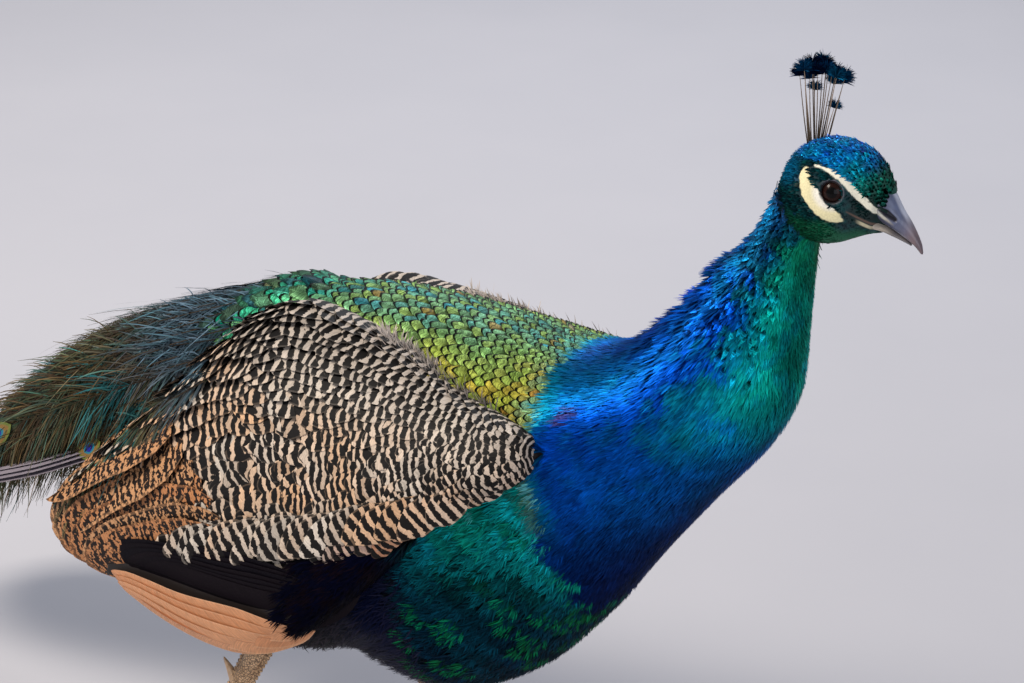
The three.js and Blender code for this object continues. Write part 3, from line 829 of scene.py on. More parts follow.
def gloss_feather(name, metallic, roughness, edge=0.0, dim_root=0.45, contrast=0.5):
    """Structural colour: thin keratin layers give a strong tinted shine. Edge is how dark the tip's border is."""
    material, tree, shader = begin(name, Metallic=metallic, Roughness=roughness, Specular_IOR_Level=0.25)
    read = Reading(tree)
    streak = barbs(tree, read, spacing=0.8)
    light = put(tree, RANGE, streak, 0.3, 0.72, 1 - contrast, 1 + contrast, **SMOOTH)
    root = put(tree, RANGE, read.along, 0.2, 0.8, dim_root, 1.0, **SMOOTH)
    level = put(tree, MATH, light, root, **TIMES)
    colour = put(tree, MIX, 1.0, read.tint, level, **DIMMED)
    if edge:
        near_side = put(tree, MATH, put(tree, RANGE, read.off, 0.4, 0.47, **SMOOTH),
                        put(tree, RANGE, read.along, 0.45, 0.75, **SMOOTH), **TIMES)
        border = put(tree, MATH, put(tree, RANGE, read.along, 0.87, 0.93, **SMOOTH), near_side, **LARGER)
        colour = put(tree, MIX, put(tree, MATH, border, edge, **TIMES), colour, rgba("#0b0f0c"), **LAID_OVER)
    fill(tree, shader, {"Specular Tint": colour})
    finish_vane(tree, shader, read, colour, streak)
    return material


def strand_feather(name, metallic, roughness, sheen=0.0, root=0.4):
    """Loose silky barbs: one narrow strip each, darker at the root."""
    material, tree, shader = begin(name, Metallic=metallic, Roughness=roughness, Specular_IOR_Level=0.2,
                                   Sheen_Weight=sheen, Sheen_Roughness=0.4)
    read = Reading(tree)
    root = put(tree, RANGE, read.along, 0.1, 0.8, root, 1.0, **SMOOTH)
    own = put(tree, RANGE, read.number, 0.0, 1.0, 0.62, 1.38, **SMOOTH)
    colour = put(tree, MIX, 1.0, read.tint, put(tree, MATH, own, root, **TIMES), **DIMMED)
    fill(tree, shader, {"Base Color": colour, "Specular Tint": colour})
    return material


# Width of one dark and one pale bar together: at length 0, and what each millimetre of feather adds.
COVERT_BARS = (2.8, 0.18)
LOW_BARS = (5.0, 0.08)
TERTIAL_BARS = (9.5, 0.0)


def barred_feather(name, dark, bars, warp, ragged, balance, margin, blunt=0.24, grain=620.0):
    """Melanin bars across a pale vane, wavy and broken. They run on from feather to feather, since each one's own
    number counts the bars from the front of the wing to its root."""
    material, tree, shader = begin(name, Roughness=0.62, Specular_IOR_Level=0.2)
    read = Reading(tree)
    edgeward = put(tree, MATH, read.side, 2.0, **TIMES)
    bend = put(tree, MATH, put(tree, MATH, edgeward, edgeward, **TIMES), blunt, **TIMES)
    run = put(tree, MATH, put(tree, MATH, read.along, read.length, **TIMES), put(tree, MATH, 1.0, bend, **LESS),
              **TIMES)
    out = put(tree, MATH, read.off, read.width, **TIMES)
    curve = put(tree, MATH, put(tree, MATH, out, out, **TIMES), 0.008, **TIMES)
    spacing = put(tree, MATH, read.length, bars[1], bars[0], operation="MULTIPLY_ADD")
    share = put(tree, MATH, put(tree, MATH, run, curve, **PLUS), spacing, operation="DIVIDE")
    place = put(tree, "ShaderNodeTexCoord").outputs["Object"]
    slow = put(tree, NOISE, {"Vector": place, "Scale": 17.0, "Detail": 2.2})
    middling = put(tree, NOISE, {"Vector": place, "Scale": 95.0, "Detail": 1.0})
    quick = put(tree, NOISE, {"Vector": place, "Scale": grain, "Detail": 2.5})
    count = put(tree, MATH, put(tree, MATH, share, read.number, **PLUS), put(tree, MATH, slow, 2 * warp, **TIMES),
                **PLUS)
    count = put(tree, MATH, middling, 0.75 * warp, count, operation="MULTIPLY_ADD")
    wave = put(tree, MATH, put(tree, MATH, count, 2 * math.pi, **TIMES), operation="SINE")
    rough = put(tree, MATH, put(tree, MATH, quick, 0.5, **LESS), ragged, wave, operation="MULTIPLY_ADD")
    bar = put(tree, RANGE, rough, balance - 0.14, balance + 0.14, **SMOOTH)
    edge = put(tree, MATH, put(tree, RANGE, read.off, 0.44, 0.465, **SMOOTH),
               put(tree, RANGE, read.along, 0.955, 0.975, **SMOOTH), **LARGER)
    kept = put(tree, MATH, 1.0, put(tree, MATH, edge, margin, **TIMES), **LESS)
    bar = put(tree, MATH, bar, kept, **TIMES)
    streak = barbs(tree, read, spacing=0.7)
    light = put(tree, RANGE, streak, 0.3, 0.7, 0.75, 1.12, **SMOOTH)
    barred = put(tree, MIX, bar, read.tint, rgba(dark), **LAID_OVER)
    finish_vane(tree, shader, read, put(tree, MIX, 1.0, barred, light, **DIMMED), streak)
    return material


def quill_feather(name, metallic, roughness, rim_light=0.0, quill="#1c1512", shine=0.3):
    """Long flight and tail feathers: a firm vane with a quill down the middle and a thin lighter edge."""
    material, tree, shader = begin(name, Metallic=metallic, Roughness=roughness, Specular_IOR_Level=shine)
    read = Reading(tree)
    streak = barbs(tree, read, spacing=1.0, slant=1.4)
    light = put(tree, RANGE, streak, 0.3, 0.7, 0.8, 1.2, **SMOOTH)
    colour = put(tree, MIX, 1.0, read.tint, light, **DIMMED)
    middle = put(tree, RANGE, read.off, 0.03, 0.015, 0.0, 0.8, **SMOOTH)
    colour = put(tree, MIX, middle, colour, rgba(quill), **LAID_OVER)
    if rim_light:
        rim = put(tree, MATH, put(tree, RANGE, read.off, 0.44, 0.49, **SMOOTH), rim_light, **TIMES)
        colour = put(tree, MIX, rim, colour, rgba("#f0c9a0"), **LAID_OVER)
    finish_vane(tree, shader, read, colour, streak)
    return material


def eyespot_feather():
    """The train's eye: rings of copper, turquoise and deep violet-blue round the end of the quill."""
    material, tree, shader = begin("train_eye", Metallic=0.45, Roughness=0.35)
    read = Reading(tree)
    x = put(tree, MATH, read.side, 2.0, **TIMES)
    y = put(tree, MATH, put(tree, MATH, read.along, 0.52, **LESS), 2.0, **TIMES)
    far = put(tree, MATH, put(tree, MATH, x, x, **TIMES), put(tree, MATH, y, y, **TIMES), **PLUS)
    streak = barbs(tree, read, spacing=0.7, slant=1.2)
    uneven = put(tree, MATH, put(tree, MATH, streak, 0.5, **LESS), 0.12, **TIMES)
    ring = put(tree, MATH, put(tree, MATH, far, operation="SQRT"), uneven, **PLUS)
    colour = rgba("#0b1a9a")
    for start, end, hexes in ((0.30, 0.36, "#0d7f95"), (0.46, 0.54, "#8a6a2c"), (0.80, 0.92, "#6f7a2e")):
        share = put(tree, RANGE, ring, start, end, **SMOOTH)
        colour = put(tree, MIX, share, colour, rgba(hexes), **LAID_OVER)
    finish_vane(tree, shader, read, colour, streak)
    return material


def tinted(tree, shader, detail, low, high):
    """The mesh's own tint, made a little lighter and darker by the detail."""
    level = put(tree, RANGE, detail, 0.3, 0.7, low, high, **SMOOTH)
    tint = put(tree, READ, attribute_name="Tint")
    fill(tree, shader, {"Base Color": put(tree, MIX, 1.0, tint, level, **DIMMED)})


def skin_under_feathers():
    """Skin and the bases of the feathers on it: dull, in the coat's own colours, with a fine pimpled bump."""
    material, tree, shader = begin("feathered_skin", Roughness=0.6, Specular_IOR_Level=0.3)
    place = put(tree, "ShaderNodeTexCoord").outputs["Object"]
    grain = put(tree, NOISE, {"Vector": place, "Scale": 900.0, "Detail": 3.0})
    tinted(tree, shader, grain, 0.9, 1.06)
    fill(tree, shader, {"Normal": put(tree, BUMP, {"Strength": 0.12, "Distance": 0.0004, "Height": grain})})
    return material


def horn(name, base, dark, roughness):
    """Horn, as on bill, claw and spur: smooth keratin with faint growth streaks and a soft shine."""
    material, tree, shader = begin(name, Roughness=roughness, Specular_IOR_Level=0.5, Coat_Weight=0.15,
                                   Coat_Roughness=0.2)
    place = put(tree, "ShaderNodeTexCoord").outputs["Object"]
    stretch = put(tree, "ShaderNodeMapping", {"Vector": place, "Scale": (1.0, 1.0, 0.35)})
    grain = put(tree, NOISE, {"Vector": stretch, "Scale": 260.0, "Detail": 4.0})
    own = put(tree, MIX, 0.85, rgba(base), put(tree, READ, attribute_name="Tint"), **LAID_OVER)
    share = put(tree, RANGE, grain, 0.35, 0.7, 0.0, 0.4, **SMOOTH)
    fill(tree, shader, {"Base Color": put(tree, MIX, share, own, rgba(dark), **LAID_OVER),
                        "Normal": put(tree, BUMP, {"Strength": 0.25, "Distance": 0.0003, "Height": grain})})
    return material


def scaly_skin():
    """The leg's bare skin: dry greyish-brown scales about 2 mm across with darker creases."""
    material, tree, shader = begin("leg_scales", Roughness=0.55, Specular_IOR_Level=0.4)
    place = put(tree, "ShaderNodeTexCoord").outputs["Object"]
    scales = put(tree, "ShaderNodeTexVoronoi", {"Vector": place, "Scale": 420.0}, feature="DISTANCE_TO_EDGE")
    crease = put(tree, RANGE, scales, 0.02, 0.16, **SMOOTH)
    patch = put(tree, NOISE, {"Vector": place, "Scale": 60.0, "Detail": 3.0})
    warm = put(tree, MIX, put(tree, RANGE, patch, 0.35, 0.65, **SMOOTH), rgba("#c09a72"), rgba("#e6c096"),
               **LAID_OVER)
    fill(tree, shader, {"Base Color": put(tree, MIX, crease, rgba("#6a5340"), warm, **LAID_OVER),
                        "Normal": put(tree, BUMP, {"Strength": 0.6, "Distance": 0.0006, "Height": crease})})
    return material


def wet_eye():
    """A dark brown iris under a wet cornea: nearly black at the pupil, with a mirror-like coat."""
    material, tree, shader = begin("wet_eye", Roughness=0.3, Specular_IOR_Level=0.05, Coat_Weight=0.2,
                                   Coat_Roughness=0.03)
    place = put(tree, "ShaderNodeTexCoord").outputs["Object"]
    rays = put(tree, NOISE, {"Vector": place, "Scale": 1500.0, "Detail": 2.0})
    tinted(tree, shader, rays, 0.75, 1.25)
    return material


SKIN = skin_under_feathers()
NECK_SILK = strand_feather("silky_neck_feathers", 0.7, 0.42)
FACE_SILK = strand_feather("short_face_feathers", 0.3, 0.5)
DOWN = strand_feather("loose_down", 0.05, 0.6, sheen=0.12)
CROWN_SCALES = gloss_feather("crown_feathers", 0.55, 0.34, dim_root=0.08, contrast=0.6)
MANTLE_SCALES = gloss_feather("mantle_feathers", 0.4, 0.45, edge=1.0, dim_root=0.12, contrast=0.65)
RUMP_SCALES = gloss_feather("rump_feathers", 0.45, 0.4, edge=0.6, dim_root=0.15, contrast=0.7)
BREAST_SILK = strand_feather("silky_breast_feathers", 0.65, 0.42, root=0.06)
BARRED = barred_feather("barred_coverts", "#0c0909", COVERT_BARS, warp=1.35, ragged=1.5, balance=-0.34,
                        margin=0.1)
BARRED_LOW = barred_feather("lower_coverts", "#0e0a09", LOW_BARS, warp=0.7, ragged=2.2, balance=-0.25,
                            margin=0.2)
MOTTLED = barred_feather("mottled_tertials", "#1a0f0a", TERTIAL_BARS, warp=1.9, ragged=10.0, balance=-0.3,
                         margin=0.3, blunt=0.05, grain=360.0)
FLIGHT_BLACK = quill_feather("black_secondaries", 0.0, 0.65, quill="#08070a", shine=0.05)
FLIGHT_CHESTNUT = quill_feather("chestnut_primaries", 0.0, 0.5, rim_light=0.3, quill="#b97b52")
TAIL_VANES = quill_feather("tail_feathers", 0.05, 0.55, quill="#cdbfae")
TRAIN_BARBS = strand_feather("train_barbs", 0.4, 0.42)
TRAIN_EYE = eyespot_feather()
BILL_HORN = horn("bill_horn", "#6d7186", "#4b4a57", 0.32)
CLAW_HORN = horn("claw_horn", "#4a3d34", "#2a211c", 0.4)
SPUR_HORN = horn("spur_horn", "#c9a684", "#8e6c4e", 0.45)
LEG_SKIN = scaly_skin()
EYE = wet_eye()


# ---------- the face ----------
EYE_OPENING = (0.3, -0.4)  # centre in the head's frame: x and z
OPENING_RADIUS = 6.3
# Bare pale skin: a stripe over the eye down to the nostril, and a crescent under it: x, z, half width.
STRIPE = [(-13.5, 12.0, 0.5), (-8, 11.9, 1.2), (-3, 11.1, 1.5), (3.5, 9.1, 1.9), (10.5, 5.5, 2.3),
          (16.5, 1.3, 2.4), (21.8, -2.4, 2.1), (26.0, -5.4, 1.6), (31.0, -8.4, 1.1), (37.5, -11.4, 0.5)]
CRESCENT = [(-19.6, 9.4, 0.8), (-18.2, 4.6, 3.2), (-15.2, -0.2, 4.8), (-11.6, -4.8, 5.2), (-8.0, -9.0, 4.8),
            (-3.2, -12.0, 4.6), (1.6, -13.2, 4.5), (6.0, -14.6, 3.4), (9.8, -15.6, 1.2)]
GAPE = [(11.0, -9.8, 0.2), (17.0, -11.6, 0.6), (24.0, -13.6, 0.8), (30.0, -15.4, 0.8)]


def off_path(x, z, path):
    """Distance outside a tapering path, negative within it."""
    best = np.full(np.shape(x), 1e3)
    for k in range(len(path) - 1):
        (x0, z0, w0), (x1, z1, w1) = path[k], path[k + 1]
        length = (x1 - x0) ** 2 + (z1 - z0) ** 2
        share = np.clip(((x - x0) * (x1 - x0) + (z - z0) * (z1 - z0)) / length, 0, 1)
        gap = np.hypot(x - x0 - share * (x1 - x0), z - z0 - share * (z1 - z0)) - (w0 + (w1 - w0) * share)
        best = np.minimum(best, gap)
    return best


def above_stripe(x, z):
    """Height over the stripe, which bounds the crown."""
    return z - np.interp(x, [row[0] for row in STRIPE], [row[1] for row in STRIPE])


def opening_distance(head_points):
    x = head_points[..., 0] - EYE_OPENING[0]
    z = head_points[..., 2] - EYE_OPENING[1]
    far = np.hypot(x, z * 1.04)
    return np.where(np.abs(head_points[..., 1]) > 7, far, 99.0)


def face_tint(points):
    """The head's marking, from points in the head's own frame."""
    x, y, z = np.moveaxis(points, -1, 0)
    side = ramp(5, 10, np.abs(y))
    fine, wave = ripple(points, 5, "face_fine"), ripple(points, 17, "face_wave")
    crown = blend("#0c7cc0", "#0a3aa0", np.clip(0.25 + 0.6 * fine, 0, 0.8),
                  "#0a8f8c", np.clip(0.55 * wave - 0.05, 0, 0.8),
                  "#0a7f78", ramp(4, 16, x + 3 * wave) * ramp(30, 16, z + x * 0.4),
                  "#0c4a3c", ramp(14, 26, x + 2 * wave))
    cheek = blend("#0b2a30", "#0a4a4a", np.clip(0.25 + 0.5 * fine, 0, 0.8),
                  "#0d5a3c", ramp(-17, -25, z + 2 * wave) * (1 - 0.5 * ramp(-14, -26, x)),
                  "#0a5f86", ramp(-19, -27, x) * ramp(-8, 6, z))
    ring = opening_distance(points)
    pale = blend("#f5f0e0", "#efe4b4", ramp(9.0, 13.5, ring))
    ragged = 0.5 * fine + 0.35 * wave
    stripe, crescent, gape = (off_path(x, z, path) for path in (STRIPE, CRESCENT, GAPE))
    below_gape = z + 0.31 * x + 6.4
    return blend(cheek, crown, ramp(1.0, 3.5, above_stripe(x, z) + wave),
                 "#0c1f1c", 0.75 * ramp(9, 15, x) * ramp(8, 1, z) * ramp(-20, -12, z),
                 pale, side * ramp(0.3, -0.25, crescent + ragged),
                 "#f0ebd4", side * ramp(0.25, -0.2, stripe + 0.5 * ragged),
                 "#6e564a", side * 0.8 * ramp(0.4, -0.4, gape),
                 "#d8cba6", side * 0.9 * ramp(-1.0, -1.8, below_gape) * ramp(-4.2, -3.2, below_gape)
                 * ramp(16, 21, x),
                 "#8c8290", 0.5 * ramp(7.9, 7.3, ring) * ramp(-6, 2, x + z),
                 "#241a1c", ramp(7.3, 6.8, ring))


def face_relief(points):
    """Moves the face's own surface: eye socket, lids, brow, stripes and the place where the bill comes out."""
    x, y, z = np.moveaxis(points, -1, 0)
    ring = opening_distance(points)
    rise = 0.7 * np.exp(-(((ring - 7.3) / 1.0) ** 2))
    rise = rise + 0.9 * np.exp(-(((z - 9.6 + 0.12 * x) / 2.6) ** 2) - ((x + 1) / 11) ** 2)
    rise = rise - 0.9 * np.exp(-(((x - 14) / 5) ** 2) - ((z + 5) / 5) ** 2)
    rise = rise + 0.35 * ramp(0.6, -0.8, off_path(x, z, CRESCENT))
    out = unit(points - np.stack([x * 0.6, np.zeros_like(y), np.full_like(z, -4.0)], -1))
    moved = points + out * (rise * ramp(4, 9, np.abs(y)))[..., None]
    sink = ramp(6.9, 5.4, ring) * 9
    bare = ramp(24.5, 28.5, x) * ramp(9, 3, z - 0.4 * (30 - x)) * 4.2
    moved[..., 1] -= np.sign(y) * np.minimum(np.abs(y), sink + bare)
    return moved


def lid_ring(side):
    """The rim of the lids: a rolled edge that hugs the eyeball all round."""
    turn = np.linspace(0, 2 * math.pi, 73)[:-1]
    profile = [(-0.7, -0.9), (-0.3, 0.05), (0.0, 0.35), (0.3, 0.4), (0.6, 0.2), (1.0, -0.5)]
    rings = []
    for out, up in profile:
        radius = OPENING_RADIUS + out
        x = EYE_OPENING[0] + radius * 1.05 * np.cos(turn)
        z = EYE_OPENING[1] + radius * 0.97 * np.sin(turn)
        flat = min(radius, OPENING_RADIUS)
        y = EYE_PLACE[1] + math.sqrt(EYE_RADIUS**2 - flat**2) + up
        rings.append(np.stack([x, np.full_like(x, side * y), z], -1))
    corners = np.concatenate(rings)
    faces = tube_faces(len(profile), len(turn))
    return corners, faces if side > 0 else faces[:, ::-1]


def face_shell():
    corners, faces = FACE_FORM.shell(180, 260, 0.0, turn=0.6)
    tints = face_tint(corners)
    corners = face_relief(corners)
    corner_sets, face_sets, tint_sets = [on_head(corners)], [faces[:, ::-1]], [tints]
    start = len(corners)
    for side in (1, -1):
        ring_corners, ring_faces = lid_ring(side)
        corner_sets.append(on_head(ring_corners))
        face_sets.append(ring_faces + start)
        rim = np.broadcast_to(linear("#2c2024"), ring_corners.shape).copy()
        rim[:72 * 3] = linear("#161012")
        tint_sets.append(rim)
        start += len(ring_corners)
    return np.concatenate(corner_sets), np.concatenate(face_sets), np.concatenate(tint_sets)


def finish_skin():
    """Paints the body's skin and grows the finely shaped face onto it."""
    body_corners = corners_of(skin)
    near = cloud.nearest(body_corners)
    tint = spot_tint(body_corners, cloud.kind[near], cloud.t[near], cloud.angle[near])
    on_skull = cloud.kind[near] == "head"
    tint[on_skull] = face_tint(in_head(body_corners[on_skull]))
    paint(skin.data, tint)
    corners, faces, tints = face_shell()
    face = new_object("face", corners, faces, tints)
    joined(skin, [face])
    nodes = ["rump", "trunk", "breast", "neck_lower", "neck_upper", "head", "thigh_right", "thigh_left"]
    dressed(skin, SKIN, "breast_feathers", *nodes)


finish_skin()
head_tree = BVHTree.FromPolygons(
    [Vector(c) for c in FACE_FORM.shell(60, 60)[0]],
    FACE_FORM.shell(60, 60)[1].tolist(),
)


# ---------- feathers of the head ----------
def straight(roots, ways, lengths, outward, droop):
    """Straight spines of four points on the head, which bend down to it: points and upward directions."""
    run = lengths[:, None, None] * np.linspace(0, 1, 4)[None, :, None]
    points = roots[:, None] + ways[:, None] * run - outward[:, None] * (droop * run**2)
    return on_head(points), np.repeat((outward @ HEAD_TURN.T)[:, None, :], 4, axis=1)


def face_coat():
    """Very short feathers over the whole face, in the same marking as the skin under them."""
    rng = random("face")
    count = 15000
    t = rng.uniform(0.02, 0.97, count)
    angle = rng.uniform(0, 360, count)
    spots = FACE_FORM.at(t, angle)
    x, y, z = spots.T
    aside = np.abs(y)
    bare_bill = ramp(24, 27, x) * ramp(10, 4, z - 0.4 * (30 - x))
    lore = ramp(12, 17, x) * ramp(6, 0, z) * ramp(-15, -9, z) * ramp(5, 9, aside)
    tint = face_tint(spots)
    feathered = (opening_distance(spots) > 7.9) & (bare_bill < 0.3) & (x < 27) & (tint[:, 0] <= 0.1)
    keep = feathered & ((off_path(x, z, GAPE) > 1.0) | (aside < 5)) & (rng.random(count) > 0.5 * lore)
    spots, t, angle, tint = spots[keep], t[keep], angle[keep], tint[keep]
    outward = FACE_FORM.outward(t, angle)
    backward = -FACE_FORM.way(t, angle)
    backward = unit(backward + rng.normal(0, 0.22, backward.shape) - np.array([0, 0, 0.25]))
    backward = unit(backward - outward * (backward * outward).sum(1, keepdims=True))
    pale = tint.min(1) > 0.25
    length = np.where(pale, 0.9, rng.uniform(2.2, 3.6, len(t)))
    half = np.where(pale, 0.3, rng.uniform(0.38, 0.62, len(t)))
    points, normals = straight(face_relief(spots), backward, length, outward, 0.012)
    corners = vanes(STRAND, points, normals, half, (0.05, np.where(pale, 0.12, 0.85)), "face_vanes")
    spread = shade_of(len(t), "face", 0.16)
    spread = np.where(pale[:, None], 0.97 + 0.15 * (spread - 1), spread)
    coat = Coat().add(STRAND, corners, tint * spread, sizes(half, length, "face_sizes"), unwrapped(t, angle))
    coat.piece("face_feathers", FACE_SILK, "crown_feathers")


def crown_coat():
    """The crown's short glossy feathers, set like scales, which part here and there and show dark between."""
    t, angle = rows_on(FACE_FORM, (0.06, 0.94), (-84, 84), lambda t: 2.1, lambda t: 2.6, "crown")
    spots = FACE_FORM.at(t, angle)
    x, y, z = spots.T
    keep = (above_stripe(x, z) > 1.4) & ((off_path(x, z, STRIPE) > 1.2) | (np.abs(y) < 6)) & (x < 32)
    t, angle, spots = t[keep], angle[keep], spots[keep]
    rng = random("crown_set")
    backward = unit(-FACE_FORM.way(t, angle) + rng.normal(0, 0.16, spots.shape))
    length = rng.uniform(3.6, 4.8, len(t))
    half = rng.uniform(1.4, 2.0, len(t)) * np.interp(spots[:, 0], [6, 22], [1, 0.72])
    lift = rng.uniform(0.5, 1.5, len(t)) * np.interp(spots[:, 0], [-10, 20], [1, 0.2])
    points, normals = straight(spots, backward, length, FACE_FORM.outward(t, angle), 0.014)
    corners = vanes(SMALL_SCALE, points, normals, half, (0.2, lift), "crown_vanes")
    tint = face_tint(spots) * 1.9 * shade_of(len(t), "crown", 0.5)
    coat = Coat().add(SMALL_SCALE, corners, tint, sizes(half, length, "crown_sizes"), unwrapped(t, angle))
    coat.piece("crown_feathers", CROWN_SCALES, "crown_feathers")


# ---------- neck ----------
def neck_coat(name, count, low_t, high_t, length, half):
    """Silky strands over the neck down to the blue's lower edge."""
    def wanted(points):
        near = cloud.nearest(points)
        kind, at_head = cloud.kind[near], in_head(points)
        t = np.where(kind == "head", 0.0, cloud.t[near])
        free = (kind == "body") | ((kind == "head") & ((at_head[:, 2] < -20) | (at_head[:, 0] < -24)))
        return (free & (t >= low_t) & (t < high_t) & (ahead_of_edge(points) > -4)).astype(float)

    points, normals = scatter(bare_skin, count, name, wanted)
    near = cloud.nearest(points)
    rng = random(name + "set")
    at_head = cloud.kind[near] == "head"
    t, angle = np.where(at_head, 0.0, cloud.t[near]), cloud.angle[near]
    way = np.where(at_head[:, None], BODY_FORM.way(0.02 * np.ones(len(t)), angle), cloud.way[near])
    clump = np.stack([ripple(points, 22, name + axis) for axis in "xyz"], -1)
    way = unit(way + 0.16 * clump + rng.normal(0, 0.09, way.shape))
    lengths = rng.uniform(0.75, 1.25, count) * np.interp(t, [low_t, high_t], length)
    halves = rng.uniform(0.75, 1.3, count) * np.interp(t, [low_t, high_t], half)
    lift = rng.uniform(0.5, 1.0, count) * np.interp(t, [0, 0.12], [1.6, 4.0])
    tuft = ramp(0.25, 0.8, ripple(points, 16, "tuft")) * ramp(0.12, 0.2, t) * ramp(0.36, 0.26, t)
    lift = lift * (1 + 1.6 * tuft * (np.cos(np.radians(angle)) > 0.2))
    tint = body_tint(points, t, angle) * shade_of(count, name, 0.22)
    tint = tint * (1.1 + 0.3 * ripple(points, 9, name + "clump"))[:, None]
    patches = unwrapped(t, angle)
    coat = Coat().grow(STRAND, points, way, lengths, halves, (0.3, lift), tint, name, patches, 0.35)
    coat.piece(name, NECK_SILK, "neck_feathers")


def nape_scales():
    """Short glossy feathers with dark bases, set like scales from the nape down the sides of the upper neck."""
    t, angle = rows_on(BODY_FORM, (0.01, 0.26), (-128, 128), lambda t: 3.4, lambda t: 3.6, "nape")
    points, open_ = rooted(BODY_FORM, t, angle, COAT["body"], reach=12)
    rng = random("nape_set")
    thinned = rng.random(len(t)) > ramp(0.1, 0.26, t) * 0.8
    behind = in_head(points)
    keep = open_ & thinned & (behind[:, 0] < -16) & (behind[:, 2] < -9)
    t, angle, points = t[keep], angle[keep], points[keep]
    way = unit(BODY_FORM.way(t, angle) + rng.normal(0, 0.12, points.shape))
    lengths = rng.uniform(6.5, 9.5, len(t))
    halves = rng.uniform(1.5, 2.2, len(t))
    raised = 2.2 + 4.5 * ramp(0.09, 0.0, t) * ramp(100, 50, np.abs(angle))
    lift = (0.8, rng.uniform(2.4, 4.6, len(t)))
    tint = body_tint(points, t, angle) * 1.05 * shade_of(len(t), "nape", 0.35)
    coat = Coat().grow(SMALL_SCALE, points, way, lengths, halves, lift, tint, "nape", cells(t, angle), 0.3,
                       raised=raised[:, None] * BODY_FORM.outward(t, angle))
    coat.piece("nape_feathers", CROWN_SCALES, "neck_feathers")


# ---------- back, breast and belly ----------
def scale_coat(form, roots, shape, lengths, halves, lift, tint, part, stiff):
    """A set of scale-like feathers at roots on a form, growing tailwards."""
    t, angle, points = roots
    way = unit(form.way(t, angle) + random(part).normal(0, 0.07, points.shape))
    return Coat().grow(shape, points, way, lengths, halves, lift, tint, part, cells(t, angle), stiff, steps=5)


def runs_under_wing(form, t, angle, points, lengths):
    """Which feathers end next to a wing, under its coverts."""
    ends = points + unit(form.way(t, angle)) * np.reshape(lengths, (-1, 1))
    return np.isin(cloud.kind[cloud.nearest(ends)], WINGS)


def mantle_coat():
    """Gold-green scales with black borders over the back, finer to the neck and bluer along the ridge."""
    def growing(t, *values):
        return np.interp(t, [0.33, 0.5, 0.8], values)

    t, angle = rows_on(BODY_FORM, (0.33, 0.93), (-MANTLE_SIDE, MANTLE_SIDE), lambda t: growing(t, 4.2, 7.2, 9.6),
                       lambda t: growing(t, 4.6, 8.2, 11.5), "mantle")
    points, open_ = rooted(BODY_FORM, t, angle, COAT["body"])
    keep = open_ & (ahead_of_edge(points) < 3) & (points[:, 2] > 300)
    t, angle, points = t[keep], angle[keep], points[keep]
    rng = random("mantle_set")
    lengths = growing(t, 12, 19, 27) * rng.uniform(0.92, 1.08, len(t))
    halves = growing(t, 3.0, 5.5, 7.8) * rng.uniform(0.92, 1.08, len(t))
    lift = np.where(runs_under_wing(BODY_FORM, t, angle, points, lengths), 0.8, 5.0)
    rusty = rng.random(len(t)) < 0.03
    tint = blend(body_tint(points, t, angle) * shade_of(len(t), "mantle", 0.13), "#8a5a2c", 0.6 * rusty)
    coat = scale_coat(BODY_FORM, (t, angle, points), SCALE, lengths, halves, (0.4, lift), tint, "mantle", 0.25)
    coat.piece("mantle_feathers_set", MANTLE_SCALES, "back_feathers")


def rump_coat():
    """Longer loose green feathers from the rump over the root of the train."""
    def growing(t, *values):
        return np.interp(t, [0, 0.4], values)

    t, angle = rows_on(TRAIN_FORM, (0.03, 0.42), (-60, 60), lambda t: growing(t, 11, 17),
                       lambda t: growing(t, 13, 17), "rump")
    points, open_ = rooted(TRAIN_FORM, t, angle, COAT["train"], reach=14)
    t, angle, points = t[open_], angle[open_], points[open_]
    rng = random("rump_set")
    lengths = growing(t, 30, 50) * rng.uniform(0.85, 1.15, len(t))
    halves = growing(t, 8.5, 9.5) * rng.uniform(0.85, 1.15, len(t))
    tint = blend("#176048", "#1a5a74", rng.random(len(t)) * 0.8, "#5a6632", rng.random(len(t)) * 0.6,
                 "#26343e", ramp(0.1, 0.26, t)) * shade_of(len(t), "rump", 0.3)
    lift = np.where(runs_under_wing(TRAIN_FORM, t, angle, points, lengths), 1.0, 6.0)
    coat = scale_coat(TRAIN_FORM, (t, angle, points), SOFT, lengths, halves, (0.6, lift), tint, "rump", 0.3)
    coat.piece("rump_feathers_set", RUMP_SCALES, "rump_feathers")


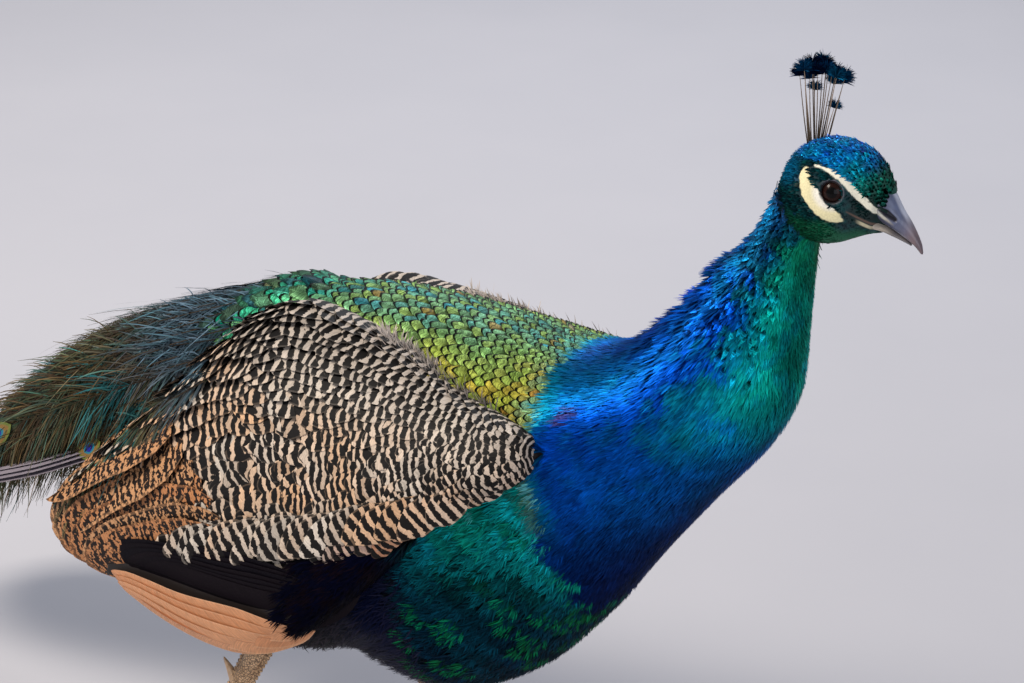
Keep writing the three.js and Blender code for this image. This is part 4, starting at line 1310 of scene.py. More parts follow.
def breast_coat():
    """Larger soft feathers of the lower breast, each a fan of silky barbs: teal, then ink blue, green glints."""
    t, angle = rows_on(BODY_FORM, (0.28, 0.72), (66, 294), lambda t: 12.5, lambda t: 12.0, "breast")
    points, open_ = rooted(BODY_FORM, t, angle, COAT["body"])
    keep = open_ & (ahead_of_edge(points) < 6) & (points[:, 0] > BREAST_END - 6) & (points[:, 2] < 405)
    t, angle, points = t[keep], angle[keep], points[keep]
    rng = random("breast_set")
    glint = (rng.random(len(t)) < 0.16) & (points[:, 2] < 330)
    tint = blend(body_tint(points, t, angle) * shade_of(len(t), "breast", 0.25), "#0a8a4c", 0.55 * glint)
    owner = np.repeat(np.arange(len(t)), BARBS_IN_A_BREAST_FEATHER)
    count = len(owner)
    way = unit(BODY_FORM.way(t, angle))
    side = np.cross(way, BODY_FORM.outward(t, angle))[owner]
    way = way[owner]
    spread = rng.uniform(-1, 1, count)
    fan = (np.radians(34) * spread + rng.normal(0, 0.05, count))[:, None]
    ways = way * np.cos(fan) + side * np.sin(fan)
    roots = points[owner] + side * (4.5 * spread)[:, None] + way * rng.uniform(0, 5, (count, 1))
    lengths = rng.uniform(15, 21, count) * (1 - 0.2 * spread**2)
    halves = rng.uniform(0.5, 0.8, count)
    lift = (0.4, rng.uniform(3.2, 5.2, count))
    centres, patch = cells(t, angle)
    tint = tint[owner] * shade_of(count, "breast_barbs", 0.12)
    coat = Coat().grow(STRAND, roots, ways, lengths, halves, lift, tint, "breast", (centres[owner], patch), 0.4)
    coat.piece("breast_feathers_set", BREAST_SILK, "breast_feathers")


def flank_coat():
    """Silky dark feathers of the flank that lie over the wing's lower front edge."""
    def wanted(points):
        on_wing = np.isin(cloud.kind[cloud.nearest(points)], WINGS)
        under = points[:, 2] < line_height(UNDER_COVERTS, points[:, 0]) - 4
        return (on_wing & under & (points[:, 0] > -58 + 26 * ripple(points, 16, "flank_edge"))).astype(float)

    count = 10000
    points, normals = scatter(bare_skin, count, "flank", wanted)
    near = cloud.nearest(points)
    rng = random("flank_set")
    way = unit(np.array([-0.75, 0, -0.65]) + rng.normal(0, 0.16, points.shape))
    lengths = rng.uniform(16, 26, count)
    halves = rng.uniform(0.5, 0.85, count)
    lift = (0.5, rng.uniform(3, 6, count))
    tint = blend("#07806c", "#0a5c86", rng.random(count),
                 "#080b22", ramp(75, 20, points[:, 0] + 14 * ripple(points, 20, "flank")),
                 "#1a1016", 0.8 * ramp(0.0, 0.5, ripple(points, 14, "flank_tufts")))
    tint = tint * shade_of(count, "flank", 0.25)
    patches = unwrapped(cloud.t[near], cloud.angle[near])
    coat = Coat().grow(STRAND, points, way, lengths, halves, lift, tint, "flank", patches, 0.5)
    coat.piece("flank_feathers", BREAST_SILK, "breast_feathers")


def down_coat():
    """Loose dark down over belly, flanks, vent and thighs."""
    def wanted(points):
        near = cloud.nearest(points)
        kind, (x, _, z) = cloud.kind[near], points.T
        low = (kind == "body") & (x < BREAST_END + 6) & (z < 330)
        vent = (kind == "train") & (z < 330) & (np.cos(np.radians(cloud.angle[near])) < -0.2) & (x > -330)
        return (low | (kind == "thigh") | vent).astype(float)

    count = 17000
    points, normals = scatter(bare_skin, count, "down", wanted)
    near = cloud.nearest(points)
    rng = random("down_set")
    way = unit(cloud.way[near] + rng.normal(0, 0.28, points.shape) - np.array([0, 0, 0.15]))
    lengths = np.where(cloud.kind[near] == "thigh", rng.uniform(15, 26, count), rng.uniform(18, 32, count))
    halves = rng.uniform(0.4, 0.8, count)
    lift = (0.3, rng.uniform(2, 6, count))
    tint = blend("#0a0c16", "#3a323c", rng.random(count) ** 4, "#081232", 0.7 * ramp(-80, 0, points[:, 0]))
    patches = unwrapped(cloud.t[near], cloud.angle[near])
    coat = Coat().grow(STRAND, points, way, lengths, halves, lift, tint, "down", patches, 0.6)
    coat.piece("down_feathers", DOWN, "thigh_feathers")


# ---------- wings ----------
UNDER_COVERTS = ((126, 366), (-176, 228))  # lower edge of the barred coverts in the side view: front and rear


def line_height(line, x):
    (x0, z0), (x1, z1) = line
    return z0 + (x - x0) * (z1 - z0) / (x1 - x0)


class WingMap:
    """Turns places of the wing's side view, x and z, into t and angle on the right wing's outer face."""

    def __init__(self):
        t, angle = np.meshgrid(np.linspace(0.005, 0.995, 260), np.linspace(-20, 184, 130), indexing="ij")
        self.t, self.angle = t.ravel(), angle.ravel()
        spots = RIGHT_WING.at(self.t, self.angle)
        self.tree = KDTree(len(spots))
        for i, (x, y, z) in enumerate(spots):
            self.tree.insert((x, 0, z), i)
        self.tree.balance()

    def find(self, places):
        picks = [self.tree.find((x, 0, z))[1] for x, z in places]
        return self.t[picks], self.angle[picks]


wing_map = WingMap()


def side_points(places, grow):
    """Points on the right wing's outer face at places of the side view, and its outward directions there."""
    t, angle = wing_map.find(places)
    grow = np.broadcast_to(grow, len(places))
    surface = RIGHT_WING.at(t, angle)
    outward = RIGHT_WING.outward(t, angle)
    outward[:, 2] = np.maximum(outward[:, 2], -0.22)
    outward = unit(outward)
    return surface + outward * grow[:, None], outward


def long_feathers(routes, base, lift, steps=16):
    """Spines of long wing feathers from routes in the side view: each a list of x, z places."""
    spines, ups = [], []
    for number, route in enumerate(routes):
        places = spline(np.array(route, float), np.linspace(0, 1, steps + 1))
        points, outward = side_points(places, base[number])
        for _ in range(3):
            points[1:-1] = (points[:-2] + points[1:-1] + points[2:]) / 3
            outward[1:-1] = unit(outward[:-2] + outward[1:-1] + outward[2:])
        points = points + outward * (np.linspace(0, 1, steps + 1) * lift)[:, None]
        spines.append(points)
        ups.append(outward)
    return np.array(spines), np.array(ups)


def length_of(spines):
    return np.linalg.norm(np.diff(spines, axis=1), axis=2).sum(1)


def on_both_wings(kind, material, slot, groups, shape, corners, tint, size, patches):
    """The same set for both wings: the left is the right mirrored and set as the left wing is carried."""
    for side, places in (("right", corners), ("left", to_left(corners))):
        nodes = [f"wing_{side}_{group}" for group in groups]
        coat = Coat().add(shape, places, tint, size, patches, flip=side == "left")
        coat.piece(f"{kind}_{side}", material, slot, *nodes)


def barred_tint(points, part):
    """Cream and buff by patches, greyer at the top of the shoulder and rusty low in front."""
    x, z = points[:, 0], points[:, 2]
    wave = ripple(points, 55, part)
    warm = np.clip(0.5 + 0.6 * wave - 0.6 * ramp(-90, -190, x) * ramp(300, 240, z), 0, 1)
    warm = warm * ramp(410, 360, z)
    low_front = ramp(16, -10, z - line_height(UNDER_COVERTS, x)) * ramp(-50, 10, x)
    tint = blend(CREAM, BUFF, warm, ASH, 0.4 * ramp(385, 425, z + 10 * wave), RUST, 0.75 * low_front)
    return tint * shade_of(len(points), part, 0.1)


COVERT_LENGTH, COVERT_HALF = 36.0, 11.5
COVERTS_REACH = -198.0  # the rows of coverts end here, and above a line only the shoulder feathers go on
SHOULDER_LINE = ((-150, 330), (-330, 232))


def covert_size(t, angle):
    """Small in front, large behind and smaller again low down."""
    grown = np.interp(t, [0.0, 0.12, 0.3, 0.5, 0.75], [0.42, 0.55, 0.85, 1.1, 1.3])
    return grown * np.interp(angle, [95, 150], [1, 0.74])


def bar_count(t, angle):
    """How many bars lie between the wing's front and each place, so that bars run on across feathers."""
    steps = 40
    share = (np.arange(steps) + 0.5) / steps
    here = t[:, None] * share
    turn = np.repeat(angle[:, None], steps, axis=1)
    speed = np.linalg.norm(RIGHT_WING.at(here + 0.01, turn) - RIGHT_WING.at(here, turn), axis=2) / 0.01
    spacing = COVERT_BARS[0] + COVERT_BARS[1] * COVERT_LENGTH * covert_size(here, turn)
    return (speed / spacing).mean(1) * t


def wing_coverts():
    """Rows of barred coverts and shoulder feathers over the upper wing."""
    t, angle = rows_on(RIGHT_WING, (0.015, 0.9), (-44, 176), lambda t: 12.0 * covert_size(t, 90),
                       lambda t: 13.5 * covert_size(t, 90), "coverts")
    points = RIGHT_WING.at(t, angle, -4.5)
    above = points[:, 2] - line_height(UNDER_COVERTS, points[:, 0])
    over_shoulder = points[:, 2] > line_height(SHOULDER_LINE, points[:, 0])
    keep = np.where(points[:, 0] > COVERTS_REACH, above > -2, over_shoulder)
    keep = keep & ((t < 0.62) | (angle > 2))  # none on the rear edge's back, where the train lies
    t, angle = t[keep], angle[keep]
    rng = random("coverts_set")
    size = covert_size(t, angle) * rng.uniform(0.95, 1.05, len(t))
    lengths, halves = COVERT_LENGTH * size, COVERT_HALF * size
    steps = 5
    spine = np.empty((len(t), steps + 1, 3))
    ups = np.empty_like(spine)
    speed = np.linalg.norm(RIGHT_WING.at(t + 0.01, angle) - RIGHT_WING.at(t, angle), axis=1) / 0.01
    slope = np.where(angle < 60, 0.0, rng.normal(0, 4, len(t)))
    for k in range(steps + 1):
        share = k / steps
        here = np.minimum(0.985, t + share * lengths / speed)
        spine[:, k] = RIGHT_WING.at(here, angle + slope * share, -4.5)
        ups[:, k] = RIGHT_WING.outward(here, angle)
    corners = vanes(COVERT, spine, ups, halves, (0.2, 3.2), "coverts_vanes")
    tint = barred_tint(spine[:, 2], "coverts")
    bars = bar_count(t, angle) + rng.normal(0, 0.04, len(t))
    on_both_wings("coverts", BARRED, "barred_feathers", ["coverts"], COVERT, corners, tint,
                  sizes(halves, lengths, "coverts", bars), cells(t, angle))


def greater_coverts():
    """The last row of coverts, longer and overlapping the black flight feathers."""
    count = 17
    share = np.linspace(0, 1, count)
    root_x = 78 - 240 * share
    root_z = line_height(UNDER_COVERTS, root_x) + 22
    rng = random("greater")
    length = np.interp(share, [0, 0.4, 0.85, 1], [30, 42, 52, 56]) * rng.uniform(0.85, 1.15, count)
    fall = np.interp(share, [0, 0.5, 1], [0.95, 0.85, 0.62]) + rng.normal(0, 0.06, count)
    routes = [[(x, z), (x - 0.5 * d, z - 0.45 * d * f), (x - d, z - d * f)]
              for x, z, d, f in zip(root_x, root_z, length, fall)]
    spines, ups = long_feathers(routes, np.full(count, -3.2), 5.4, steps=6)
    lengths = length_of(spines)
    halves = np.interp(share, [0, 1], [11.5, 14.5])
    corners = vanes(COVERT, spines, ups, halves, (0.0, 0.8), "greater_vanes")
    tint = barred_tint(spines[:, 3], "greater")
    on_both_wings("lower_coverts", BARRED_LOW, "barred_feathers", [], COVERT, corners, tint,
                  sizes(halves, lengths, "greater", -root_x / 7.0), cells(share, root_z))


def laid_wing_set(kind, material, slot, groups, routes, base, half, tint, steps=16, lift=0.8):
    """One set of long wing feathers on both wings, from routes in the side view."""
    spines, ups = long_feathers(routes, base, lift, steps)
    lengths = length_of(spines)
    corners = vanes(QUILL, spines, ups, half, (0.0, 0.5), kind + "_vanes")
    place = np.arange(len(routes), dtype=float)
    size = sizes(half, lengths, kind)
    on_both_wings(kind, material, slot, groups, QUILL, corners, tint, size, cells(place, place))


def tertials():
    """Broad mottled inner flight feathers that cover the folded wing's end in a rounded paddle."""
    count = 7
    s = np.linspace(-0.2, 1, count)
    routes = []
    for k in s:
        root = np.array([-150 - 75 * k, 268 + 46 * k])
        tip_z = 178 + 6 * k + 40 * min(k, 0) - 8 * math.sin(math.pi * k) + 22 * k**2
        tip = np.array([-322 - 58 * max(k, 0) ** 0.7, tip_z])
        routes.append([root, 0.55 * root + 0.45 * tip + (0, 6), tip])
    tint = blend("#bd7f52", "#c2936a", random("tertials").random(count))
    laid_wing_set("tertials", MOTTLED, "tertial_feathers", ["tertials"], routes, -3.0 + 4.4 * s,
                  np.interp(s, [0, 0.5, 1], [22, 30, 24]), tint, lift=1.0)


def secondaries():
    """Black flight feathers under the coverts, long and nearly level."""
    count = 7
    s = np.linspace(0, 1, count)
    routes = [[(-60 + 50 * k, 260 - 16 * k), (-180 + 70 * k, 226 - 6 * k), (-300 + 66 * k, 192 + 8 * k)] for k in s]
    tint = blend("#0b0810", "#120c12", random("secondaries").random(count))
    laid_wing_set("secondaries", FLIGHT_BLACK, "secondary_feathers", ["secondaries"], routes,
                  -5.0 + 1.2 * (1 - s), np.full(count, 17.0), tint, lift=0.0)


def primaries():
    """Chestnut outer flight feathers, folded into a narrow pack along the wing's lower edge."""
    count = 5
    s = np.linspace(0, 1, count)
    routes = [[(-62 + 26 * k, 212 - 28 * k), (-122 + 10 * k, 204 - 32 * k), (-200 + 8 * k, 188 - 25 * k),
               (-286 + 16 * k, 182 - 13 * k)] for k in s]
    tint = blend("#c28054", "#d3976c", random("primaries").random(count))
    laid_wing_set("primaries", FLIGHT_CHESTNUT, "primary_feathers", ["primaries"], routes, -4.0 + 1.6 * (1 - s),
                  np.interp(s, [0, 0.5, 1], [13.0, 12.0, 7.0]), tint, steps=20, lift=0.0)


def shoulder_fluff():
    """Grey down that stands out between the mantle and the wing."""
    rng = random("fluff")
    count = 900
    t = rng.uniform(0.16, 0.4, count)
    angle = rng.normal(6, 9, count)
    points = RIGHT_WING.at(t, angle, -3)
    outward = RIGHT_WING.outward(t, angle)
    way = unit(RIGHT_WING.way(t, angle) + rng.normal(0, 0.5, points.shape))
    lengths = rng.uniform(8, 14, count)
    steps = np.linspace(0, 1, 4)[None, :, None]
    spine = points[:, None] + way[:, None] * lengths[:, None, None] * steps
    spine = spine + outward[:, None] * (1.4 * rng.random((count, 1, 1)) * steps)
    halves = np.full(count, 0.4)
    corners = vanes(STRAND, spine, np.repeat(outward[:, None], 4, axis=1), halves, (0, 1), "fluff_vanes")
    tint = blend(SMOKE, "#c9bcb0", rng.random(count) * 0.8)
    on_both_wings("shoulder_down", DOWN, "barred_feathers", [], STRAND, corners, tint,
                  sizes(halves, lengths, "fluff"), unwrapped(t, angle / 2))


# ---------- train and tail ----------
# Routes, in the side view, of the train feathers that hang over the rear of the folded wing.
DRAPES = [
    [(-188, 378), (-250, 348), (-318, 310), (-392, 260)],
    [(-186, 370), (-244, 336), (-306, 298), (-372, 252)],
    [(-190, 362), (-242, 326), (-296, 288), (-352, 248)],
    [(-200, 384), (-272, 354), (-344, 308), (-414, 244)],
    [(-214, 352), (-262, 312), (-312, 276), (-350, 234)],
]


def outside(x, z, gap):
    """How far to the right something hung at x and z must lie to clear the wing and the train."""
    hit = lie.ray_cast(Vector((x, -260, z)), Vector((0, 1, 0)), 255)[0]
    return hit[1] - gap if hit is not None and hit[1] < -30 else -46.0


def draped(share):
    """Spines that lie on the outer side of the wing and train, and their outward directions."""
    spines, facing = [], []
    for route in DRAPES:
        places = spline(np.array(route, float), share)
        rows = np.array([(x, outside(x, z, COAT["wing"] + 4.0), z) for x, z in places])
        for _ in range(4):
            rows[1:-1, 1] = (rows[:-2, 1] + rows[1:-1, 1] + rows[2:, 1]) / 3
        spines.append(rows)
        facing.append(np.tile(unit(np.array([-0.1, -1.0, 0.35])), (len(rows), 1)))
    return np.array(spines), np.array(facing)


def train_spines():
    """Spines of the train's long feathers, the upper ones lying over the lower: points, normals, and t and angle on
    the form.
    """
    rng = random("train")
    count = 120
    angle = np.linspace(-118, 118, count) + rng.normal(0, 3, count)
    angle = angle[rng.permutation(count)]
    root = rng.uniform(0.1, 0.34, count)
    tip = np.clip(root + rng.uniform(0.38, 0.66, count), 0, 0.97)
    longest = rng.choice(count, 14, replace=False)
    tip[longest] = rng.uniform(0.86, 0.98, len(longest))
    stations = 15
    share = np.linspace(0, 1, stations)
    t = root[:, None] + (tip - root)[:, None] * share
    swing = angle[:, None] * (1 - 0.1 * share) + rng.normal(0, 5, (count, 1)) * share
    height = rng.uniform(-8, -1, (count, 1)) + share * rng.uniform(1.0, 7.0, (count, 1))
    points = TRAIN_FORM.at(t, swing, height)
    outward = TRAIN_FORM.outward(t, swing)
    points[..., 2] -= 10 * (share**3) * rng.uniform(0, 1, (count, 1))
    hung, facing = draped(share)
    t = np.concatenate([t, np.repeat(t[:1], len(hung), axis=0)])
    swing = np.concatenate([swing, 80 + 3.0 * np.arange(len(hung))[:, None] * np.ones(stations)])
    return np.concatenate([points, hung]), np.concatenate([outward, facing]), t, swing


def sampled(rows, place):
    """Rows of stations read at a share of the way along, one row for each place."""
    last = rows.shape[1] - 1
    at = np.minimum((place * last).astype(int), last - 1)
    f = (place * last - at)[:, None]
    index = np.arange(len(place))
    return rows[index, at] * (1 - f) + rows[index, at + 1] * f


def train_tint(points, share, rng):
    """Bronze-green to brown barbs, teal towards the ends, and a painted blue-grey sheen along the top of the root.
    """
    count = len(points)
    patch = ripple(points, 70, "train_top")
    return blend("#6e5a38", "#5c4a3a", rng.random(count),
                 "#1d1a16", 0.35 * rng.random(count),
                 "#2f6a56", 0.6 * rng.random(count) ** 2,
                 "#1c7f86", 0.75 * ramp(0.25, 0.75, patch) * ramp(0.2, 0.5, share),
                 # Painted sheen: blue-grey along the top of the train's root.
                 "#567e9a", 0.6 * ramp(-330, -240, points[:, 0]) * ramp(320, 372, points[:, 2] + 10 * patch))


def train_coat():
    """Long loose-barbed feathers: a pale quill with barbs down both sides that part and hang at the ends."""
    spines, normals, t, angle = train_spines()
    rng = random("barbs")
    count = len(spines)
    per_side = 74
    feather = np.repeat(np.arange(count), per_side * 2)
    side = np.tile(np.repeat([1.0, -1.0], per_side), count)
    share = np.tile(np.linspace(0.03, 0.995, per_side), count * 2) + rng.normal(0, 0.004, len(feather))
    share = np.clip(share, 0.02, 0.998)
    base = sampled(spines[feather], share)
    up = unit(sampled(normals[feather], share))
    ahead = unit(sampled(np.gradient(spines, axis=1)[feather], share))
    out = unit(np.cross(ahead, up)) * side[:, None]
    length = np.interp(share, [0, 0.15, 0.6, 0.9, 1], [16, 34, 46, 40, 26]) * rng.uniform(0.6, 1.3, len(share))
    spread = np.radians(np.interp(share, [0, 0.9, 1], [24, 27, 12]) + rng.normal(0, 9, len(share)))
    first = ahead * np.cos(spread)[:, None] + out * np.sin(spread)[:, None]
    u = np.linspace(0, 1, 5)[None, :, None]
    long_ = length[:, None, None]
    droop = np.array([0, 0, -1.0]) * (0.42 * rng.uniform(0.3, 1.3, (len(share), 1, 1)))
    sag = np.clip(1 - up[:, 2], 0.12, 1)[:, None, None]
    bend = ahead[:, None] * 0.28 - up[:, None] * 0.12 + droop * sag
    points = base[:, None] + long_ * (first[:, None] * u + bend * u**2)
    stray = rng.random(len(share)) < 0.05
    lift_stray = np.where(stray, rng.uniform(0.1, 0.4, len(share)), 0.0)[:, None, None]
    points = points + up[:, None] * long_ * lift_stray * u
    for i in np.flatnonzero(feather >= count - len(DRAPES)):
        for k in range(1, 5):
            x, y, z = points[i, k]
            points[i, k, 1] = min(y, outside(x, z, COAT["wing"] + 2.5 + 0.4 * k))
    halves = rng.uniform(0.32, 0.55, len(share))
    corners = vanes(BARB, points, np.repeat(up[:, None], 5, axis=1), halves, (0.0, 0.0), "barb_vanes")
    tint = train_tint(base, share, rng) * shade_of(count, "train_own", 0.25)[feather]
    tint = tint * shade_of(len(share), "barbs", 0.2)
    centres, patch = cells(t[:, 0], angle[:, 0])
    offset = np.stack([side * 0.25, share - 0.5], -1) * patch
    half_way = 62
    for number, members in enumerate((feather < half_way, feather >= half_way)):
        coat = Coat()
        coat.add(BARB, corners[members], tint[members], sizes(halves[members], length[members], f"barbs{number}"),
                 (centres[feather[members]] + offset[members], 0.003))
        own = slice(0, half_way) if number == 0 else slice(half_way, count)
        quill_half = np.full(len(spines[own]), 0.4)
        quills = vanes(BARB_QUILL, spines[own], normals[own], quill_half, (0.5, 0.3), f"quills{number}")
        coat.add(BARB_QUILL, quills, np.broadcast_to(linear("#57493a"), (len(quill_half), 3)),
                 sizes(quill_half, length_of(spines[own]), f"quills{number}"), (centres[own], 0.003))
        nodes = ["train"] if number == 0 else []
        coat.piece(f"train_feathers_{number + 1}", TRAIN_BARBS, "train_feathers", *nodes)
    train_eyes(spines, normals, t, angle)


BARB_QUILL = Vane(18, 2, [(0, 1), (0.7, 0.7), (1, 0.3)], cup=0.8)
EYE_VANE = Vane(12, 12, [(0, 0.05), (0.14, 0.55), (0.32, 0.88), (0.55, 1.0), (0.78, 0.86), (0.92, 0.55), (1, 0.1)],
                cup=0.06, ragged=0.01)


def train_eyes(spines, normals, t, angle):
    """The eyes near the ends of the train's longer feathers."""
    chosen = np.flatnonzero((t[:, -1] > 0.62) & (np.arange(len(t)) % 2 == 0))
    chosen = np.union1d(chosen, len(t) - len(DRAPES) + np.array([0, 3]))
    stations = np.linspace(0.86, 1.0, 7)
    points = np.stack([sampled(spines[chosen], np.full(len(chosen), s)) for s in stations], 1)
    ups = np.stack([sampled(normals[chosen], np.full(len(chosen), s)) for s in stations], 1)
    lengths = length_of(points)
    halves = np.full(len(chosen), 9.0)
    corners = vanes(EYE_VANE, points, ups, halves, (1.6, 2.6), "train_eye_vanes")
    coat = Coat().add(EYE_VANE, corners, np.full((len(chosen), 3), 0.5), sizes(halves, lengths, "train_eyes"),
                      cells(t[chosen, 0], angle[chosen, 0]))
    coat.piece("train_eyes", TRAIN_EYE, "train_feathers")


def tail_coat():
    """The tail's stiff grey-brown feathers, stacked flat under the train."""
    count = 14
    spread = np.linspace(-1, 1, count)
    reach = 0.97 - 0.1 * np.abs(spread)
    share = np.linspace(0, 1, 15)
    t = 0.03 + (reach[:, None] - 0.03) * share
    angle = 90 * spread[:, None] * np.ones(15)
    points = TAIL_FORM.at(t, angle, -4.0 - 2.0 * np.abs(spread)[:, None])
    points[..., 2] += 1.1 * (6 - 6 * np.abs(spread))[:, None]
    ups = np.broadcast_to(np.array([-0.37, 0, 0.93]), points.shape).copy()
    ups[..., 1] += -0.25 * spread[:, None]
    lengths = length_of(points)
    halves = np.full(count, 19.0)
    corners = vanes(QUILL, points, unit(ups), halves, (0.0, 0.0), "tail_vanes")
    tint = blend("#77707a", "#918a96", random("tail").random(count))
    coat = Coat().add(QUILL, corners, tint, sizes(halves, lengths, "tail"), cells(spread, spread))
    coat.piece("tail_feathers_set", TAIL_VANES, "tail_feathers", "tail")


# ---------- crest ----------
CREST_ROOT = np.array([-21.0, 0.0, 20.0])
CREST_HEIGHT = 50.0
CREST_LEAN, CREST_SPREAD = 9.5, 13.0
BARBS_IN_A_TUFT = 190


def crest_coat():
    """A fan of bare wiry quills, each with a tuft of blue-green barbs at its end."""
    rng = random("crest")
    coat = Coat()
    count = 20
    share = (np.arange(count) + 0.5) / count - 0.5
    tilt = np.radians(CREST_LEAN + 2 * CREST_SPREAD * share)
    height = CREST_HEIGHT * (1 - 0.1 * np.abs(np.sin(np.arange(count) * 1.7))) * (1 - 0.45 * share**2)
    height[3], height[6], height[14], height[16] = 24.0, 38.0, 33.0, 40.0
    sideways = 5.5 * np.sin(np.arange(count) * 2.4)
    u = np.linspace(0, 1, 9)
    x = CREST_ROOT[0] - 11 * share[:, None] - np.sin(tilt)[:, None] * height[:, None] * u
    y = sideways[:, None] * (0.3 + 1.0 * u) + 1.2 * np.sin(3 * u + share[:, None] * 9)
    z = CREST_ROOT[2] - 3 + np.cos(tilt)[:, None] * (height[:, None] + 3) * u
    spines = on_head(np.stack([x, y, z], -1))
    facing = np.broadcast_to(on_head(np.array([0, -1.0, 0])) - HEAD_AT, spines.shape)
    quill_half = np.full(count, 0.42)
    place = unwrapped(np.linspace(0.1, 0.9, count), np.linspace(0, 180, count))
    pale = np.broadcast_to(linear("#8f7d6c"), (count, 3))
    for normals in (facing, np.cross(facing, unit(np.gradient(spines, axis=1)))):
        quills = vanes(BARB_QUILL, spines, normals, quill_half, (0.0, 0.0), "crest_quills")
        coat.add(BARB_QUILL, quills, pale, sizes(quill_half, height, "crest"), place)
    owner = np.repeat(np.arange(count), BARBS_IN_A_TUFT)
    many = len(owner)
    along = rng.uniform(0.95, 1.0, many)
    base = sampled(spines[owner], along)
    ahead, facing = unit(spines[owner, -1] - spines[owner, -2]), facing[owner, 0]
    fan = (rng.uniform(-1, 1, many) * np.radians(82))[:, None]
    plane = rng.normal(0, 0.22, many)[:, None]
    across = unit(np.cross(ahead, facing))
    first = unit(ahead * np.cos(fan) + across * np.sin(fan) + facing * plane)
    fullness = (1.0 - 0.22 * np.abs(fan[:, 0])) * (height[owner] / CREST_HEIGHT) ** 0.5
    length = rng.uniform(4.0, 9.0, many) * fullness
    steps = np.linspace(0, 1, 5)[None, :, None]
    curl = (across * np.sign(fan) * 0.25 + [0, 0, -0.2]) * rng.uniform(0, 1.4, (many, 1))
    points = base[:, None] + length[:, None, None] * (first[:, None] * steps + curl[:, None] * steps**2)
    halves = rng.uniform(0.14, 0.28, many)
    normals = np.repeat((facing + rng.normal(0, 0.4, (many, 3)))[:, None], 5, axis=1)
    corners = vanes(BARB, points, normals, halves, (0, 0), "crest_barbs")
    own = rng.random(count)[owner]
    tint = blend("#041c48", "#07405e", np.clip(own * 1.4 - 0.5, 0, 1), "#040a16", 0.75 * ramp(0.6, 0.2, own))
    coat.add(BARB, corners, tint, sizes(halves, length, "crest_barbs"),
             unwrapped(0.1 + 0.8 * owner / count, 200 + 150 * along))
    coat.piece("crest_feathers_set", NECK_SILK, "crest_feathers", "crest")


# ---------- bill and eyes ----------
UPPER_BILL = [
    ((19, 0, 13.4), (17, 0, -12.2), 9.6, 2), ((31, 0, 7.6), (29, 0, -13.8), 8.4, 2),
    ((40, 0, -2), (37.5, 0, -15.8), 6.6, 2), ((48.2, 0, -9.8), (44.8, 0, -18.4), 4.7, 2),
    ((55.2, 0, -18.4), (52.0, 0, -21.6), 2.7, 2), ((58.2, 0, -24.8), (57.0, 0, -25.3), 0.9, 2),
]
LOWER_BILL = [
    ((13, 0, -11.0), (15, 0, -20.6), 8.4, 2), ((28, 0, -13), (29, 0, -18.7), 6.8, 2),
    ((38, 0, -16), (38, 0, -19.6), 4.8, 2), ((46, 0, -19.0), (46.5, 0, -21.2), 2.6, 2),
    ((49.8, 0, -20.8), (50.2, 0, -22.2), 1.0, 2),
]
NOSTRIL = [(28.0, -3.8, 1.1), (32.5, -5.6, 2.0), (38.0, -8.0, 1.1)]


def bills():
    form = Form(UPPER_BILL, cap=0.04)
    corners, faces = form.shell(120, 96)
    x, y, z = corners.T
    hole = off_path(x, z, NOSTRIL)
    side = ramp(1.5, 4, np.abs(y))
    dent = ramp(0.4, -1.0, hole) * side
    swelling = 0.5 * np.exp(-((hole - 1.2) / 1.3) ** 2) * side
    under_ridge = ramp(-11, -13.5, z + 0.42 * (x - 28)) * ramp(52, 34, x)
    cere = np.exp(-(((x - 27.5 + 0.25 * (z + 4)) / 0.8) ** 2)) * ramp(-8, -3, z)
    # Painted light on the upper bill: the pale band along the top ridge is a painted highlight, and the darkening
    # low on the sides is painted shade.
    tint = blend("#5f6988", "#3c4058", ramp(-4, -12, z + 0.5 * (x - 28)),
                 "#d6d9e8", 0.9 * ramp(4.6, 2.4, np.abs(y)) * ramp(54, 42, x),
                 "#7d6058", ramp(40, 52, x) * 0.85,
                 "#a08d84", under_ridge * 0.8,
                 "#e6e0cc", ramp(0.5, -0.2, off_path(x, z, STRIPE)) * side * ramp(40, 32, x),
                 "#b6b3c0", 0.7 * cere,
                 # The near-black over the nostril is painted shade inside its opening.
                 "#100a0c", ramp(0.9, 0.0, hole) * side)
    corners[:, 1] -= np.sign(y) * (3.4 * dent - swelling)
    upper = new_object("bill_upper_horn", on_head(corners), faces[:, ::-1], tint)
    dressed(upper, BILL_HORN, "bill", "bill_upper")
    corners, faces = Form(LOWER_BILL, cap=0.05).shell(80, 72)
    tint = blend("#d9c9ae", "#6e6660", ramp(26, 40, corners[:, 0]))
    lower = new_object("bill_lower_horn", on_head(corners), faces[:, ::-1], tint)
    dressed(lower, BILL_HORN, "bill", "bill_lower")


